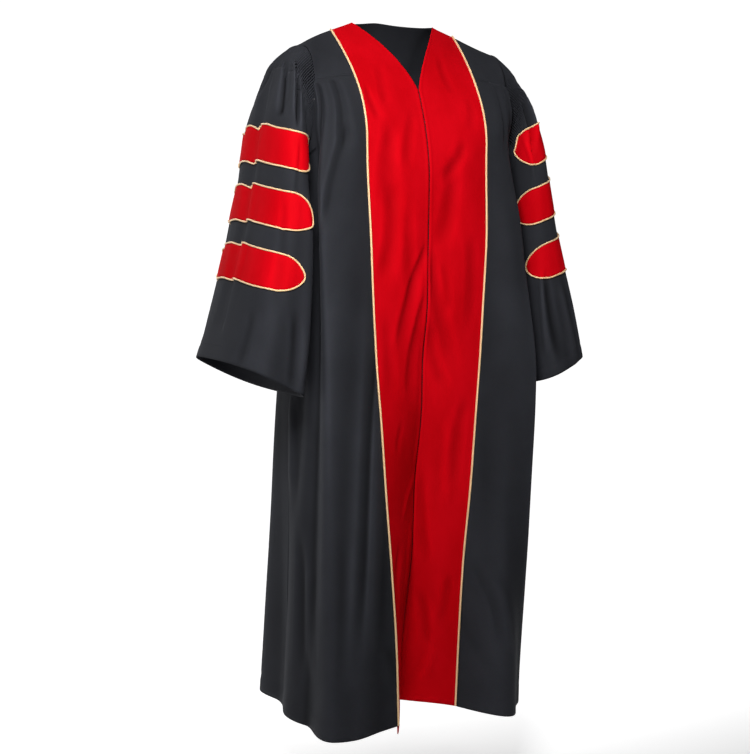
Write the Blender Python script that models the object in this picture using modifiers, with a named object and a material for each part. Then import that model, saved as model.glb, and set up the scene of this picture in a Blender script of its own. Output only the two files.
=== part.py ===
"""Doctor's graduation gown, worn by nobody and filled out as if it were worn.

Black cloth body on a yoke, two red velvet fronts edged with gold piping, and two bell sleeves
that are gathered in fine flutes at the shoulder and carry three red bars each.

Metres, +Z up. The gown faces -Y, so the wearer's left is at +X. The origin lies midway between
the two points where the neckline meets the shoulder line, and the hem is GOWN_LENGTH below it.
"""

import math

import bpy
import numpy as np
from mathutils import Matrix

# Driving sizes of the gown
GOWN_LENGTH = 1.275
CLOTH = 0.0015
VELVET = 0.002
SEAM_GAP = 0.0003
PIPED_GAP = 0.0010
SHOULDER_START = 0.0009
NECK_HALF_WIDTH = 0.084
NECK_BACK_DEPTH = 0.068
NECK_BACK_RISE = 0.020
NECK_RISE_FADE = 0.14
V_DEPTH = 0.143
SHOULDER_SLOPE = 0.37
CREST_SOFTNESS = 0.02
CREST_FADE = 0.34
SHOULDER_REACH = 0.21
CHEST_DROP = 0.30
ARM_DROP = 0.145
BACK_DROP = 0.15
RING_SQUARENESS = 3.4
YOKE_DROP_FRONT = 0.092
YOKE_DROP_BACK = 0.125
CENTRE_GAP = 0.0008

# Zip behind the closed centre front
ZIP_LENGTH = 0.66
ZIP_TAPE_WIDTH = 0.024
ZIP_TAPE_THICKNESS = 0.0008
SLIDER_SIZE = (0.009, 0.004, 0.013)

# Piping and sleeve bars
FRONT_PIPING_RADIUS = 0.0019
BAR_PIPING_RADIUS = 0.0016
BAR_THICKNESS = 0.0012
BAR_TIP_GAP = 0.0024
BAR_HEIGHT = 0.062
BAR_END = 0.056
FLUTE_PITCH = 0.0064
FLUTE_DEPTH = 0.0011
FLUTED_BAND = 0.05

COLOURS = {
    "cloth": (0.016, 0.017, 0.02, 1.0),
    "velvet": (0.62, 0.006, 0.012, 1.0),
    "piping": (0.9, 0.62, 0.25, 1.0),
    "zip": (0.05, 0.02, 0.03, 1.0),
}

# The body's level sections, one row each, measured down from the neck point
SECTION_COLUMNS = ("drop", "half_width", "front", "back", "centre_x", "centre_y")
SECTIONS = (
    (0.00, 0.236, 0.147, 0.112, 0.000, 0.000),
    (0.13, 0.230, 0.147, 0.116, 0.000, 0.000),
    (0.24, 0.203, 0.149, 0.120, 0.000, 0.000),
    (0.34, 0.198, 0.150, 0.124, 0.000, 0.000),
    (0.50, 0.201, 0.150, 0.130, 0.000, 0.000),
    (0.64, 0.208, 0.151, 0.136, 0.000, 0.000),
    (0.78, 0.214, 0.157, 0.140, 0.000, 0.000),
    (1.00, 0.221, 0.175, 0.147, -0.001, 0.000),
    (1.275, 0.230, 0.200, 0.160, -0.008, 0.000),
)

# The front's lines, one row each: how far the piped seam of each side lies from the middle of
# the gown and from its side-to-side plane, and where the centre edges meet between them
FRONT_COLUMNS = ("drop", "right_x", "right_y", "centre_x", "centre_y", "left_x", "left_y")
FRONT = (
    (0.00, 0.1275, -0.147, 0.000, -0.147, 0.1275, -0.147),
    (0.10, 0.1225, -0.147, 0.000, -0.147, 0.1225, -0.147),
    (0.24, 0.1220, -0.148, 0.000, -0.146, 0.1225, -0.148),
    (0.40, 0.1185, -0.149, 0.000, -0.145, 0.1195, -0.149),
    (0.54, 0.1115, -0.147, 0.000, -0.140, 0.1130, -0.147),
    (0.61, 0.1080, -0.148, 0.000, -0.126, 0.1090, -0.147),
    (0.72, 0.1035, -0.158, 0.000, -0.120, 0.1005, -0.147),
    (0.85, 0.1015, -0.173, -0.003, -0.100, 0.0885, -0.150),
    (1.00, 0.0985, -0.192, -0.010, -0.101, 0.0700, -0.156),
    (1.12, 0.0975, -0.207, -0.022, -0.094, 0.0595, -0.162),
    (1.275, 0.1000, -0.222, -0.038, -0.098, 0.0490, -0.168),
)
FRONT_BEGINS = 0.24
FRONT_FULL = 0.42
FACING_BOW = 0.007

# Long folds of the body: turn from the centre front in degrees (+ is the wearer's left) at the
# top and at the hem; where the fold begins, is full, fades and is gone; its height (+ is a
# ridge); its half width in degrees towards the right and the left, and how many times wider it
# is at the hem
FOLD_COLUMNS = (
    "turn_top",
    "turn_hem",
    "begins",
    "full",
    "fades",
    "gone",
    "height",
    "width_right",
    "width_left",
    "spread",
)
FOLDS = (
    (-57, -44, 0.14, 0.26, 2.0, 3.0, 0.072, 4.5, 9, 2.2),
    (-34, -30, 0.50, 1.00, 2.0, 3.0, -0.010, 3, 4, 1.3),
    (-72, -74, 0.50, 1.20, 2.0, 3.0, 0.010, 8, 9, 1.3),
    (-98, -99, 0.70, 1.25, 2.0, 3.0, -0.014, 9, 9, 1.2),
    (-122, -120, 0.20, 1.15, 2.0, 3.0, 0.016, 8, 8, 1.4),
    (-142, -140, 0.14, 1.00, 2.0, 3.0, -0.022, 7, 7, 1.4),
    (-160, -161, 0.14, 1.10, 2.0, 3.0, 0.024, 7, 7, 1.4),
    (180, 178, 0.14, 1.00, 2.0, 3.0, -0.022, 7, 7, 1.5),
    (160, 157, 0.14, 1.10, 2.0, 3.0, 0.026, 7, 7, 1.4),
    (141, 138, 0.14, 1.00, 2.0, 3.0, -0.022, 7, 7, 1.4),
    (121, 119, 0.20, 1.15, 2.0, 3.0, 0.018, 8, 8, 1.4),
    (98, 99, 0.70, 1.25, 2.0, 3.0, -0.012, 9, 9, 1.2),
    (56, 47, 0.12, 0.68, 0.59, 1.46, 0.078, 9, 5, 1.8),
    (52, 47, 0.12, 0.28, 0.33, 0.50, 0.014, 8, 5, 1.2),
    (34, 28, 0.70, 1.20, 2.0, 3.0, 0.060, 7, 9, 1.2),
    (45, 42, 0.25, 0.60, 0.90, 1.27, -0.008, 5, 5, 1.2),
)

# How far the hem rises above the level of GOWN_LENGTH round the body
HEM_COLUMNS = ("turn", "lift")
HEM = (
    (-180, 0.006),
    (-90, -0.004),
    (-45, -0.006),
    (-15, 0.009),
    (12, 0.006),
    (32, -0.015),
    (60, -0.008),
    (90, 0.002),
    (180, 0.006),
)

# The sleeve's sections for the wearer's left: the point over the arm and the point under it, in
# X and Z, then the middle and the half depth in Y. "run" is the share of the sleeve's length.
SLEEVE_COLUMNS = ("run", "over_x", "over_z", "under_x", "under_z", "centre_y", "half_depth")
SLEEVE = (
    (0.00, 0.182, -0.042, 0.205, -0.262, 0.000, 0.086),
    (0.05, 0.216, -0.062, 0.213, -0.272, 0.003, 0.097),
    (0.12, 0.243, -0.106, 0.215, -0.298, -0.002, 0.113),
    (0.25, 0.270, -0.190, 0.217, -0.345, -0.006, 0.124),
    (0.42, 0.288, -0.290, 0.218, -0.405, -0.008, 0.130),
    (0.60, 0.306, -0.385, 0.221, -0.475, -0.008, 0.136),
    (0.80, 0.335, -0.500, 0.226, -0.585, -0.004, 0.146),
    (1.00, 0.365, -0.615, 0.236, -0.680, 0.004, 0.157),
)
SLEEVE_SQUARENESS = 2.7

# Folds that run down each sleeve: angle round it from the point over the arm in degrees (+ is
# towards the front) at the band and at the cuff, where it begins, is full and ends, its half
# width in degrees and its height (+ is a ridge)
SLEEVE_FOLD_COLUMNS = ("angle_top", "angle_cuff", "begins", "full", "ends", "width", "height")
RIGHT_SLEEVE_FOLDS = (
    (60, 52, 0.03, 0.09, 0.22, 10, -0.010),
    (38, 34, 0.03, 0.09, 0.30, 12, 0.006),
    (82, 76, 0.03, 0.09, 0.22, 9, 0.004),
    (5, -2, 0.05, 0.15, 0.95, 5, -0.005),
    (-14, -24, 0.05, 0.15, 0.70, 10, 0.005),
    (-45, -50, 0.04, 0.12, 0.60, 12, -0.010),
    (-75, -78, 0.05, 0.14, 0.60, 10, 0.006),
    (62, 66, 0.55, 0.85, 1.30, 18, 0.005),
    (100, 96, 0.60, 0.90, 1.30, 12, -0.006),
)
LEFT_SLEEVE_FOLDS = (
    (46, 42, 0.03, 0.09, 0.22, 10, -0.008),
    (66, 60, 0.03, 0.09, 0.22, 9, 0.004),
    (22, 24, 0.05, 0.14, 0.75, 9, 0.005),
    (2, 4, 0.05, 0.15, 0.55, 7, -0.005),
    (-20, -22, 0.05, 0.15, 0.60, 10, 0.005),
    (-48, -50, 0.04, 0.12, 0.60, 12, -0.010),
    (-76, -78, 0.05, 0.14, 0.60, 10, 0.006),
    (46, 40, 0.55, 0.85, 1.30, 7, -0.006),
    (66, 60, 0.55, 0.85, 1.30, 8, 0.006),
)

# The bars, from the top: height of the middle over the arm, how far each reaches from there
# towards the front on either sleeve and towards the back, its rows of faces and its gap to the
# sleeve; the left sleeve's bars sit turned to the front
BAR_COLUMNS = ("z", "right_front", "left_front", "to_back", "rows", "gap")
BARS = (
    (-0.222, 0.2225, 0.2220, 0.156, 5, 0.0019),
    (-0.327, 0.2285, 0.2505, 0.156, 3, 0.0010),
    (-0.433, 0.2080, 0.2300, 0.150, 3, 0.0010),
)
BAR_FALL = {1: 0.26, -1: 0.15}
BAR_TURN = {1: 0.022, -1: 0.0}
BAR_SHIFT = {1: 0.032, -1: -0.004}
BAR_TIP_ROUNDNESS = 1.8


def column(table, columns, name):
    """One named column of a table, as an array."""
    return np.array([row[columns.index(name)] for row in table], float)


def ease(share):
    """0 to 1 with a level start and end."""
    share = np.clip(share, 0.0, 1.0)
    return share * share * (3.0 - 2.0 * share)


def curve_through(places, values, at):
    """A cubic through the values at their places, level with its neighbours' slope."""
    slopes = np.gradient(values, places)
    at = np.clip(at, places[0], places[-1])
    left = np.clip(np.searchsorted(places, at, side="right") - 1, 0, len(places) - 2)
    span = places[left + 1] - places[left]
    share = (at - places[left]) / span
    rise = ease(share)
    start = share * (1 - share) ** 2 * span * slopes[left]
    end = share**2 * (share - 1) * span * slopes[left + 1]
    return values[left] * (1 - rise) + values[left + 1] * rise + start + end


def section(name, drop):
    return curve_through(
        column(SECTIONS, SECTION_COLUMNS, "drop"), column(SECTIONS, SECTION_COLUMNS, name), drop
    )


def bump(distance, width):
    """1 in the middle, 0 from twice the half width outwards, with no corner."""
    return ease(1.0 - np.abs(distance) / (2.0 * width))


def body_folds(turn, drop):
    """How far the long folds stand out of the body's section."""
    degrees = np.degrees(turn)
    share = drop / GOWN_LENGTH
    total = np.zeros(np.broadcast(turn, drop).shape)
    for turn_top, turn_hem, begins, full, fades, gone, height, right, left, spread in FOLDS:
        middle = turn_top + (turn_hem - turn_top) * share
        distance = (degrees - middle + 180.0) % 360.0 - 180.0
        width = np.where(distance < 0, right, left) * (1.0 + (spread - 1.0) * share)
        grown = ease((drop - begins) / (full - begins)) * (1 - ease((drop - fades) / (gone - fades)))
        total += height * grown * bump(distance, width)
    return total


def hem_lift(turn):
    turns = column(HEM, HEM_COLUMNS, "turn")
    degrees = (np.degrees(turn) + 180.0) % 360.0 - 180.0
    return curve_through(turns, column(HEM, HEM_COLUMNS, "lift"), degrees)


def crest(x):
    """Height of the shoulder line over the neck point: it falls to both sides."""
    return SHOULDER_SLOPE * (NECK_HALF_WIDTH - np.hypot(x, CREST_SOFTNESS))


def roundness(x, drop, in_front):
    """Share of the full depth reached at this drop: 0 on the shoulder line, then rounded over."""
    share = np.clip(np.abs(x) / SHOULDER_REACH, 0.0, 1.0)
    front_reach = CHEST_DROP + (ARM_DROP - CHEST_DROP) * share**1.3
    front = np.sin(np.pi / 2 * np.clip(drop / front_reach, 0.0, 1.0) ** 0.92)
    back = np.sqrt(1.0 - (1.0 - np.clip(drop / BACK_DROP, 0.0, 1.0)) ** 2)
    return np.where(in_front, front, back)


def body(turn, drop):
    """Outer face of the worn body: superellipse rings, long folds, and the shoulder's rounding."""
    sine, cosine = np.sin(turn), np.cos(turn)
    depth = np.where(cosine > 0, section("front", drop), section("back", drop))
    n = RING_SQUARENESS
    ring = np.abs(sine / section("half_width", drop)) ** n + np.abs(cosine / depth) ** n
    radius = ring ** (-1.0 / n) + body_folds(turn, drop)
    x = radius * sine
    y = -radius * cosine * roundness(x, drop, cosine > 0)
    z = crest(x) * (1.0 - ease(drop / CREST_FADE)) - drop
    z = z + hem_lift(turn) * ease((drop - 0.5) / (GOWN_LENGTH - 0.5)) ** 1.5
    stand = np.clip(1.0 - (x / NECK_HALF_WIDTH) ** 2, 0.0, 1.0)
    stand = stand * (1.0 - ease(drop / NECK_RISE_FADE))
    z = z + np.where(cosine > 0, 0.0, NECK_BACK_RISE) * stand
    return np.stack([x + section("centre_x", drop), y + section("centre_y", drop), z], -1)


def turn_at(x, drop, in_front=True):
    """The turn whose point on the section lies at this x, front or back."""
    n = RING_SQUARENESS
    share = np.clip(np.abs(x) / section("half_width", drop), 0.0, 0.9999)
    depth = section("front" if in_front else "back", drop) * (1.0 - share**n) ** (1.0 / n)
    return np.arctan2(x, depth if in_front else -depth)


def sleeve(folds, angle, run):
    """Outer face of the sleeve on the +X side: superellipse sections and the folds along it."""
    runs = column(SLEEVE, SLEEVE_COLUMNS, "run")
    over_x, over_z, under_x, under_z, middle_y, half_depth = (
        curve_through(runs, column(SLEEVE, SLEEVE_COLUMNS, name), run)
        for name in SLEEVE_COLUMNS[1:]
    )
    half_rise = np.hypot(over_x - under_x, over_z - under_z) / 2
    up_x, up_z = (over_x - under_x) / 2 / half_rise, (over_z - under_z) / 2 / half_rise
    degrees = np.degrees(angle)
    out = np.zeros(np.broadcast(angle, run).shape)
    for top, cuff, begins, full, ends, width, height in folds:
        distance = (degrees - (top + (cuff - top) * run) + 180.0) % 360.0 - 180.0
        grown = ease((run - begins) / (full - begins)) * (1 - ease((run - full) / (ends - full)))
        out += height * grown * bump(distance, width)
    power = 2.0 / SLEEVE_SQUARENESS
    cosine, sine = np.cos(angle), np.sin(angle)
    rise = np.sign(cosine) * np.abs(cosine) ** power * half_rise + out * cosine
    front = np.sign(sine) * np.abs(sine) ** power * half_depth + out * sine
    x = (over_x + under_x) / 2 + rise * up_x
    z = (over_z + under_z) / 2 + rise * up_z
    return np.stack([x, middle_y - front, z], -1)


def lifted(surface, a, b, height, step=1e-4):
    """Points of surface(a, b) moved out along its normal; the surface runs a across, b down."""
    across = surface(a + step, b) - surface(a - step, b)
    down = surface(a, b + step) - surface(a, b - step)
    normal = np.cross(down, across)
    normal /= np.linalg.norm(normal, axis=-1, keepdims=True)
    return surface(a, b) + np.asarray(height)[..., None] * normal


def material(name):
    made = bpy.data.materials.get(name) or bpy.data.materials.new(name)
    made.use_nodes = True
    shader = made.node_tree.nodes["Principled BSDF"]
    shader.inputs["Base Color"].default_value = COLOURS[name]
    shader.inputs["Roughness"].default_value = 0.85
    shader.inputs["Metallic"].default_value = 0.0
    return made


def link(name, data, finish):
    made = bpy.data.objects.new(name, data)
    data.materials.append(material(finish))
    gown.objects.link(made)
    return made


def wall(name, rows, thickness, finish, closed=False):
    """A cloth wall: the grid of its outer face, with Solidify inwards. Rows run down."""
    mesh = bpy.data.meshes.new(name)
    down, across = rows.shape[:2]
    index = np.arange(down * across).reshape(down, across)
    right = np.roll(index, -1, axis=1) if closed else index[:, 1:]
    left = index if closed else index[:, :-1]
    faces = np.stack([left[:-1], left[1:], right[1:], right[:-1]], -1).reshape(-1, 4)
    mesh.from_pydata(rows.reshape(-1, 3).tolist(), [], faces.tolist())
    mesh.shade_smooth()
    made = link(name, mesh, finish)
    solidify = made.modifiers.new("Wall", "SOLIDIFY")
    solidify.thickness = thickness
    solidify.offset = -1.0
    solidify.use_quality_normals = True
    return made


def tube(name, path, radius, finish, sides_over_four, closed=False):
    """A round trim along a path: a curve with a bevel and filled caps."""
    curve = bpy.data.curves.new(name, "CURVE")
    curve.dimensions = "3D"
    curve.bevel_depth = radius
    curve.bevel_resolution = sides_over_four
    curve.use_fill_caps = True
    spline = curve.splines.new("POLY")
    spline.points.add(len(path) - 1)
    spline.points.foreach_set("co", np.column_stack([path, np.ones(len(path))]).ravel())
    spline.use_cyclic_u = closed
    return link(name, curve, finish)


def front_line(name, drop):
    return curve_through(
        column(FRONT, FRONT_COLUMNS, "drop"), column(FRONT, FRONT_COLUMNS, name), drop
    )


def front_share(drop):
    """0 where the front still lies on the body's section, 1 where its own lines place it."""
    return ease((drop - FRONT_BEGINS) / (FRONT_FULL - FRONT_BEGINS))


def facing_edge(side, drop):
    """Distance of the piped seam from the middle of the gown."""
    return front_line(f"{SIDE_NAMES[side]}_x", drop)


def seam_point(side, drop, gap=0.0):
    """Points of the piped seam, on the +X side for both, a gap further out."""
    x = facing_edge(side, drop) + gap
    on_body = signed_body(side)(turn_at(x, drop), drop)
    share = front_share(drop)
    y = on_body[..., 1] + share * (front_line(f"{SIDE_NAMES[side]}_y", drop) - on_body[..., 1])
    return np.stack([x, y, on_body[..., 2]], -1)


def front_surface(side):
    """Outer face of a velvet front, on the +X side for both: across runs 0 to 1 from the inner
    edge to the piped seam."""

    def surface(across, drop):
        middle = side * front_line("centre_x", drop)
        inner = np.where(drop < V_DEPTH, neckline(drop), middle + CENTRE_GAP)
        outer = seam_point(side, drop, -PIPED_GAP / 2)
        x = inner + (outer[..., 0] - inner) * across
        on_body = plain_body(np.clip(x, 0.0, None), drop)
        centre_y = front_line("centre_y", drop)
        bow = FACING_BOW * np.sin(np.pi * np.clip(across, 0.0, 1.0)) * front_share(drop)
        lined = centre_y + (outer[..., 1] - centre_y) * across - bow
        share = front_share(drop)
        y = on_body[..., 1] + share * (lined - on_body[..., 1])
        return np.stack([x, y, on_body[..., 2] + 0 * y], -1)

    return surface


def plain_body(x, drop):
    """The front of the body at this distance from its middle, without the long folds."""
    turn = turn_at(x, drop)
    depth = section("front", drop) * (
        1.0 - np.clip(x / section("half_width", drop), 0.0, 0.9999) ** RING_SQUARENESS
    ) ** (1.0 / RING_SQUARENESS)
    y = -depth * roundness(x, drop, True)
    z = crest(x) * (1.0 - ease(drop / CREST_FADE)) - drop
    z = z + hem_lift(turn) * ease((drop - 0.5) / (GOWN_LENGTH - 0.5)) ** 1.5
    return np.stack(np.broadcast_arrays(x, y, z), -1)


def neckline(drop):
    """Half width of the V-neck at this drop, and of the centre gap below it."""
    share = np.clip(drop / V_DEPTH, 0.0, 1.0)
    return CENTRE_GAP + (NECK_HALF_WIDTH - CENTRE_GAP) * (1.0 - share) ** 1.2


def armhole(z, in_front):
    """Points of the armhole seam on the +X side at the heights z."""
    first = SLEEVE[0]
    over_x, over_z, under_x, under_z, middle_y, half_depth = first[1:]
    share = np.clip((z - (over_z + under_z) / 2) / ((over_z - under_z) / 2), -1.0, 1.0)
    power = 2.0 / SLEEVE_SQUARENESS
    angle = np.arccos(np.sign(share) * np.abs(share) ** (1 / power))
    x = (over_x + under_x) / 2 + share * (over_x - under_x) / 2
    y = middle_y + np.where(in_front, -1, 1) * half_depth * np.sin(angle) ** power
    height = (over_z + under_z) / 2 + share * (over_z - under_z) / 2
    return np.stack([x, y, height], -1)


def drops_down(start, end, count, crowd=1.0):
    """Drops from start to end, closer together at the start where crowd is over 1."""
    return start + (end - start) * np.linspace(0.0, 1.0, count) ** crowd


def mirrored(rows, side):
    """The same points on the wearer's other side, with the columns kept left to right."""
    return rows * (side, 1, 1) if side > 0 else (rows * (side, 1, 1))[:, ::-1]


def signed_body(side):
    return lambda turn, drop: body(side * turn, drop) * (side, 1, 1)


def facing(side):
    """Velvet front: from the neckline or the centre edge out to the piped seam."""
    upper = drops_down(SHOULDER_START, V_DEPTH, 8, 1.4)
    drops = np.concatenate([upper, drops_down(V_DEPTH, GOWN_LENGTH, 20)[1:]])
    share = np.linspace(0.0, 1.0, 6)
    rows = front_surface(side)(share[None, :], drops[:, None])
    wall(f"facing_{SIDE_NAMES[side]}", mirrored(rows, side), VELVET, "velvet")


def front_piping(side):
    """Gold piping proud of the seam between the velvet and the cloth."""
    drops = drops_down(SHOULDER_START, GOWN_LENGTH - 0.001, 36, 1.2)
    seam = seam_point(side, drops)
    before = front_surface(side)(0.92, drops)
    beyond = front_panel_rows(side, drops, np.array([0.0, 0.06]))[:, 1]
    normal = np.cross(np.gradient(seam, axis=0), beyond - before)
    normal /= np.linalg.norm(normal, axis=1, keepdims=True)
    path = (seam + normal * (FRONT_PIPING_RADIUS + PIPED_GAP)) * (side, 1, 1)
    tube(f"front_piping_{SIDE_NAMES[side]}", path, FRONT_PIPING_RADIUS, "piping", 1)


def to_armhole(rows, edge, share):
    """Rows eased so that their last points lie on the armhole seam."""
    return rows + (edge - rows[:, -1])[:, None, :] * share[None, :, None] ** 2.5


def to_seam(rows, start, share):
    """Rows eased so that their first points lie on the piped seam."""
    return rows + (start - rows[:, 0])[:, None, :] * (1.0 - share[None, :, None]) ** 3


def front_yoke(side):
    """Yoke in front of the shoulder line, between the facing and the armhole."""
    drops = drops_down(SHOULDER_START, YOKE_DROP_FRONT, 6, 1.6)
    share = np.linspace(0.0, 1.0, 6)
    edge = armhole(SLEEVE[0][2] - drops, True)
    inner = facing_edge(side, drops)[:, None] + PIPED_GAP / 2
    x = inner + (edge[:, :1] - inner) * share
    rows = signed_body(side)(turn_at(x, drops[:, None]), drops[:, None])
    rows = to_armhole(rows, edge, share)
    wall(f"front_yoke_{SIDE_NAMES[side]}", mirrored(rows, side), CLOTH, "cloth")


def side_edge(drops, in_front):
    """The armhole seam down to the armpit, then the side seam, with the turn of each point."""
    armpit = SLEEVE[0][4]
    edge = armhole(SLEEVE[0][2] - drops, in_front)
    centre_y = section("centre_y", drops)
    turns = np.arctan2(edge[:, 0], -(edge[:, 1] - centre_y))
    seam = math.pi / 2 + (-1 if in_front else 1) * SEAM_GAP * 3
    below = SLEEVE[0][2] - drops <= armpit
    return edge, np.where(below, seam, turns), below


def panel_drops(start):
    """Rows of a body panel: close together down the armhole, then even to the hem."""
    armpit = SLEEVE[0][2] - SLEEVE[0][4]
    upper = armpit - (armpit - start) * (1.0 - np.linspace(0.0, 1.0, 7)) ** 1.5
    return np.concatenate([upper, drops_down(armpit, GOWN_LENGTH, 15)[1:]])


def front_panel_rows(side, drops, share):
    """Outer face of a cloth front, on the +X side for both, from the piped seam outwards."""
    edge, outer, below = side_edge(drops, True)
    seam = seam_point(side, drops, PIPED_GAP / 2)
    middle = section("centre_x", drops) * side
    inner = np.arctan2(seam[:, 0] - middle, -seam[:, 1] / roundness(seam[:, 0], drops, True))
    whole = np.append(share, 1.0)
    turn = inner[:, None] + (outer - inner)[:, None] * whole
    rows = to_seam(signed_body(side)(turn, drops[:, None]), seam, whole)
    edge = np.where(below[:, None], rows[:, -1], edge)
    return to_armhole(rows, edge, whole)[:, :-1]


def front_panel(side):
    """Cloth front: from the yoke seam to the hem, between the piping and the side seam."""
    drops = panel_drops(YOKE_DROP_FRONT + 2 * SEAM_GAP)
    rows = front_panel_rows(side, drops, np.linspace(0.0, 1.0, 15) ** 0.9)
    wall(f"front_panel_{SIDE_NAMES[side]}", mirrored(rows, side), CLOTH, "cloth")


def back_yoke():
    """Yoke behind the shoulder line, from armhole to armhole, cut out for the neck."""
    share = np.linspace(-1.0, 1.0, 19)
    bottom_half = armhole(np.array([SLEEVE[0][2] - YOKE_DROP_BACK]), False)[0, 0]
    x = share * bottom_half
    neck = np.sqrt(np.clip(1.0 - (x / NECK_HALF_WIDTH) ** 2, 0.0, 1.0)) * NECK_BACK_DEPTH
    reach = section("back", 0.0)
    neck_drop = BACK_DROP * (1.0 - np.sqrt(1.0 - (neck / reach) ** 2))
    down = np.linspace(0.0, 1.0, 7)[:, None] ** 1.3
    drops = neck_drop + (YOKE_DROP_BACK - neck_drop) * down
    rows = body(turn_at(x[None, :] + 0 * drops, drops, False), drops)
    edge = armhole(SLEEVE[0][2] - drops[:, 0], False)
    pull = np.clip((np.abs(share) - 0.4) / 0.6, 0.0, 1.0)[None, :, None] ** 2
    left_pull = np.where(share > 0, 1.0, 0.0)[None, :, None] * pull
    right_pull = np.where(share < 0, 1.0, 0.0)[None, :, None] * pull
    rows = rows + (edge - rows[:, -1])[:, None, :] * left_pull
    rows = rows + (edge * (-1, 1, 1) - rows[:, 0])[:, None, :] * right_pull
    rows[:, :, 1] = np.maximum(rows[:, :, 1], 2 * SEAM_GAP)
    wall("back_yoke", rows[:, ::-1], CLOTH, "cloth")


def back_panel():
    """Cloth back: gathered under the yoke, from side seam to side seam."""
    drops = panel_drops(YOKE_DROP_BACK + 4 * SEAM_GAP)
    share = np.linspace(0.0, 1.0, 29)
    edge, outer, below = side_edge(drops, False)
    turn = outer[:, None] + (2 * math.pi - 2 * outer)[:, None] * share
    rows = body(turn, drops[:, None])
    pull = np.clip(1.0 - 2.5 * share, 0.0, 1.0)[None, :, None] ** 2
    left = np.where(below[:, None], rows[:, 0], edge)
    right = np.where(below[:, None], rows[:, -1], edge * (-1, 1, 1))
    rows = rows + (left - rows[:, 0])[:, None, :] * pull
    rows = rows + (right - rows[:, -1])[:, None, :] * pull[:, ::-1]
    wall("back_panel", rows, CLOTH, "cloth")


def sleeve_girth(folds, run):
    """Arc length round the sleeve from the point over the arm, for angles -180 to 180 degrees."""
    angles = np.radians(np.linspace(-180.0, 180.0, 361))
    points = sleeve((), angles, np.full(361, run))
    steps = np.linalg.norm(np.diff(points, axis=0), axis=1)
    arc = np.concatenate([[0.0], np.cumsum(steps)])
    return angles, arc - np.interp(0.0, angles, arc)


def even_angles(run, count):
    """Angles round the sleeve that stand even arc lengths apart."""
    angles, arc = sleeve_girth((), run)
    return np.interp(np.linspace(arc[0], arc[-1], count, endpoint=False), arc, angles)


def fluted_band(side):
    """Head of the sleeve: stitched down in fine flutes from the yoke's front seam to its back."""
    angles, arc = sleeve_girth((), 0.0)
    front_end = np.interp(math.radians(118), angles, arc)
    flutes = int(round(2 * front_end / FLUTE_PITCH))
    over = np.linspace(-front_end, front_end, 2 * flutes + 1)
    under = np.linspace(front_end, arc[-1] - arc[0] - front_end, 12)[1:-1]
    places = np.concatenate([over, under])
    places = (places - arc[0]) % (arc[-1] - arc[0]) + arc[0]
    around = np.interp(places, arc, angles)
    relief = np.zeros(len(around))
    relief[: len(over)] = FLUTE_DEPTH * (1 - 2 * (np.arange(len(over)) % 2))
    runs = np.array([0.003, FLUTED_BAND - 0.001])
    fold = np.array([0.7, 1.0])
    rows = lifted(
        lambda a, b: sleeve((), a, b), around[None, :], runs[:, None], fold[:, None] * relief
    )
    rows = rows * (side, 1, 1)
    name = f"sleeve_head_{SIDE_NAMES[side]}"
    wall(name, rows if side < 0 else rows[:, ::-1], CLOTH * 0.7, "cloth", closed=True)


def sleeve_grid(side):
    """The sleeve's columns and rows, and its outer face at them on the +X side."""
    start = FLUTED_BAND + 0.002
    runs = start + (1.0 - start) * np.linspace(0.0, 1.0, 12) ** 1.15
    around = even_angles(0.5, 36)
    return around, runs, sleeve(SLEEVE_FOLDS[side], around[None, :], runs[:, None])


def sleeve_tube(side):
    """Bell sleeve from the fluted band to the open cuff."""
    rows = sleeve_grid(side)[2] * (side, 1, 1)
    name = f"sleeve_{SIDE_NAMES[side]}"
    wall(name, rows if side < 0 else rows[:, ::-1], CLOTH, "cloth", closed=True)


def on_sleeve(side, around, run, height):
    """Points on the sleeve's own faces between its columns and rows, moved out by a height."""
    columns, rows, face = sleeve_grid(side)
    face = np.concatenate([face, face[:, :1]], axis=1)
    columns = np.append(columns, columns[0] + 2 * np.pi)
    across = np.interp((around - columns[0]) % (2 * np.pi) + columns[0], columns, np.arange(len(columns)))
    down = np.interp(run, rows, np.arange(len(rows)))
    i = np.minimum(across.astype(int), len(columns) - 2)
    j = np.minimum(down.astype(int), len(rows) - 2)
    u, v = (across - i)[..., None], (down - j)[..., None]
    upper = face[j, i] * (1 - u) + face[j, i + 1] * u
    lower = face[j + 1, i] * (1 - u) + face[j + 1, i + 1] * u
    before = face[j, i] * (1 - v) + face[j + 1, i] * v
    after = face[j, i + 1] * (1 - v) + face[j + 1, i + 1] * v
    flat = np.cross(lower - upper, after - before)
    smooth = lifted(lambda a, b: sleeve((), a, b), around, run, -1.0 + 0 * run)
    smooth = smooth - sleeve((), around, run)
    flat /= np.linalg.norm(flat, axis=-1, keepdims=True)
    flat *= np.sign((flat * smooth).sum(-1, keepdims=True))
    normal = flat + smooth
    normal /= np.linalg.norm(normal, axis=-1, keepdims=True)
    return upper * (1 - v) + lower * v + normal * height


def bar_places(side, arc, angles, to_front, to_back):
    """Distances round the sleeve of its own columns between a bar's two ends."""
    columns = sleeve_grid(side)[0]
    columns = np.sort((columns + np.pi) % (2 * np.pi) - np.pi)
    places = np.interp(columns, angles, arc)
    return places[(places > -to_back) & (places < to_front)]


def bar_run(side, z, place, around):
    """Where each point at this distance round the sleeve lies along it, at the height z."""
    target = z + BAR_SHIFT[side] - BAR_FALL[side] * (np.sqrt(place * place + 0.0009) - 0.03)
    along = np.linspace(FLUTED_BAND + 0.012, 1.0, 96)
    heights = sleeve((), around[:, None], along[None, :])[..., 2]
    return np.array([np.interp(-t, -h, along) for t, h in zip(target, heights)])


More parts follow.
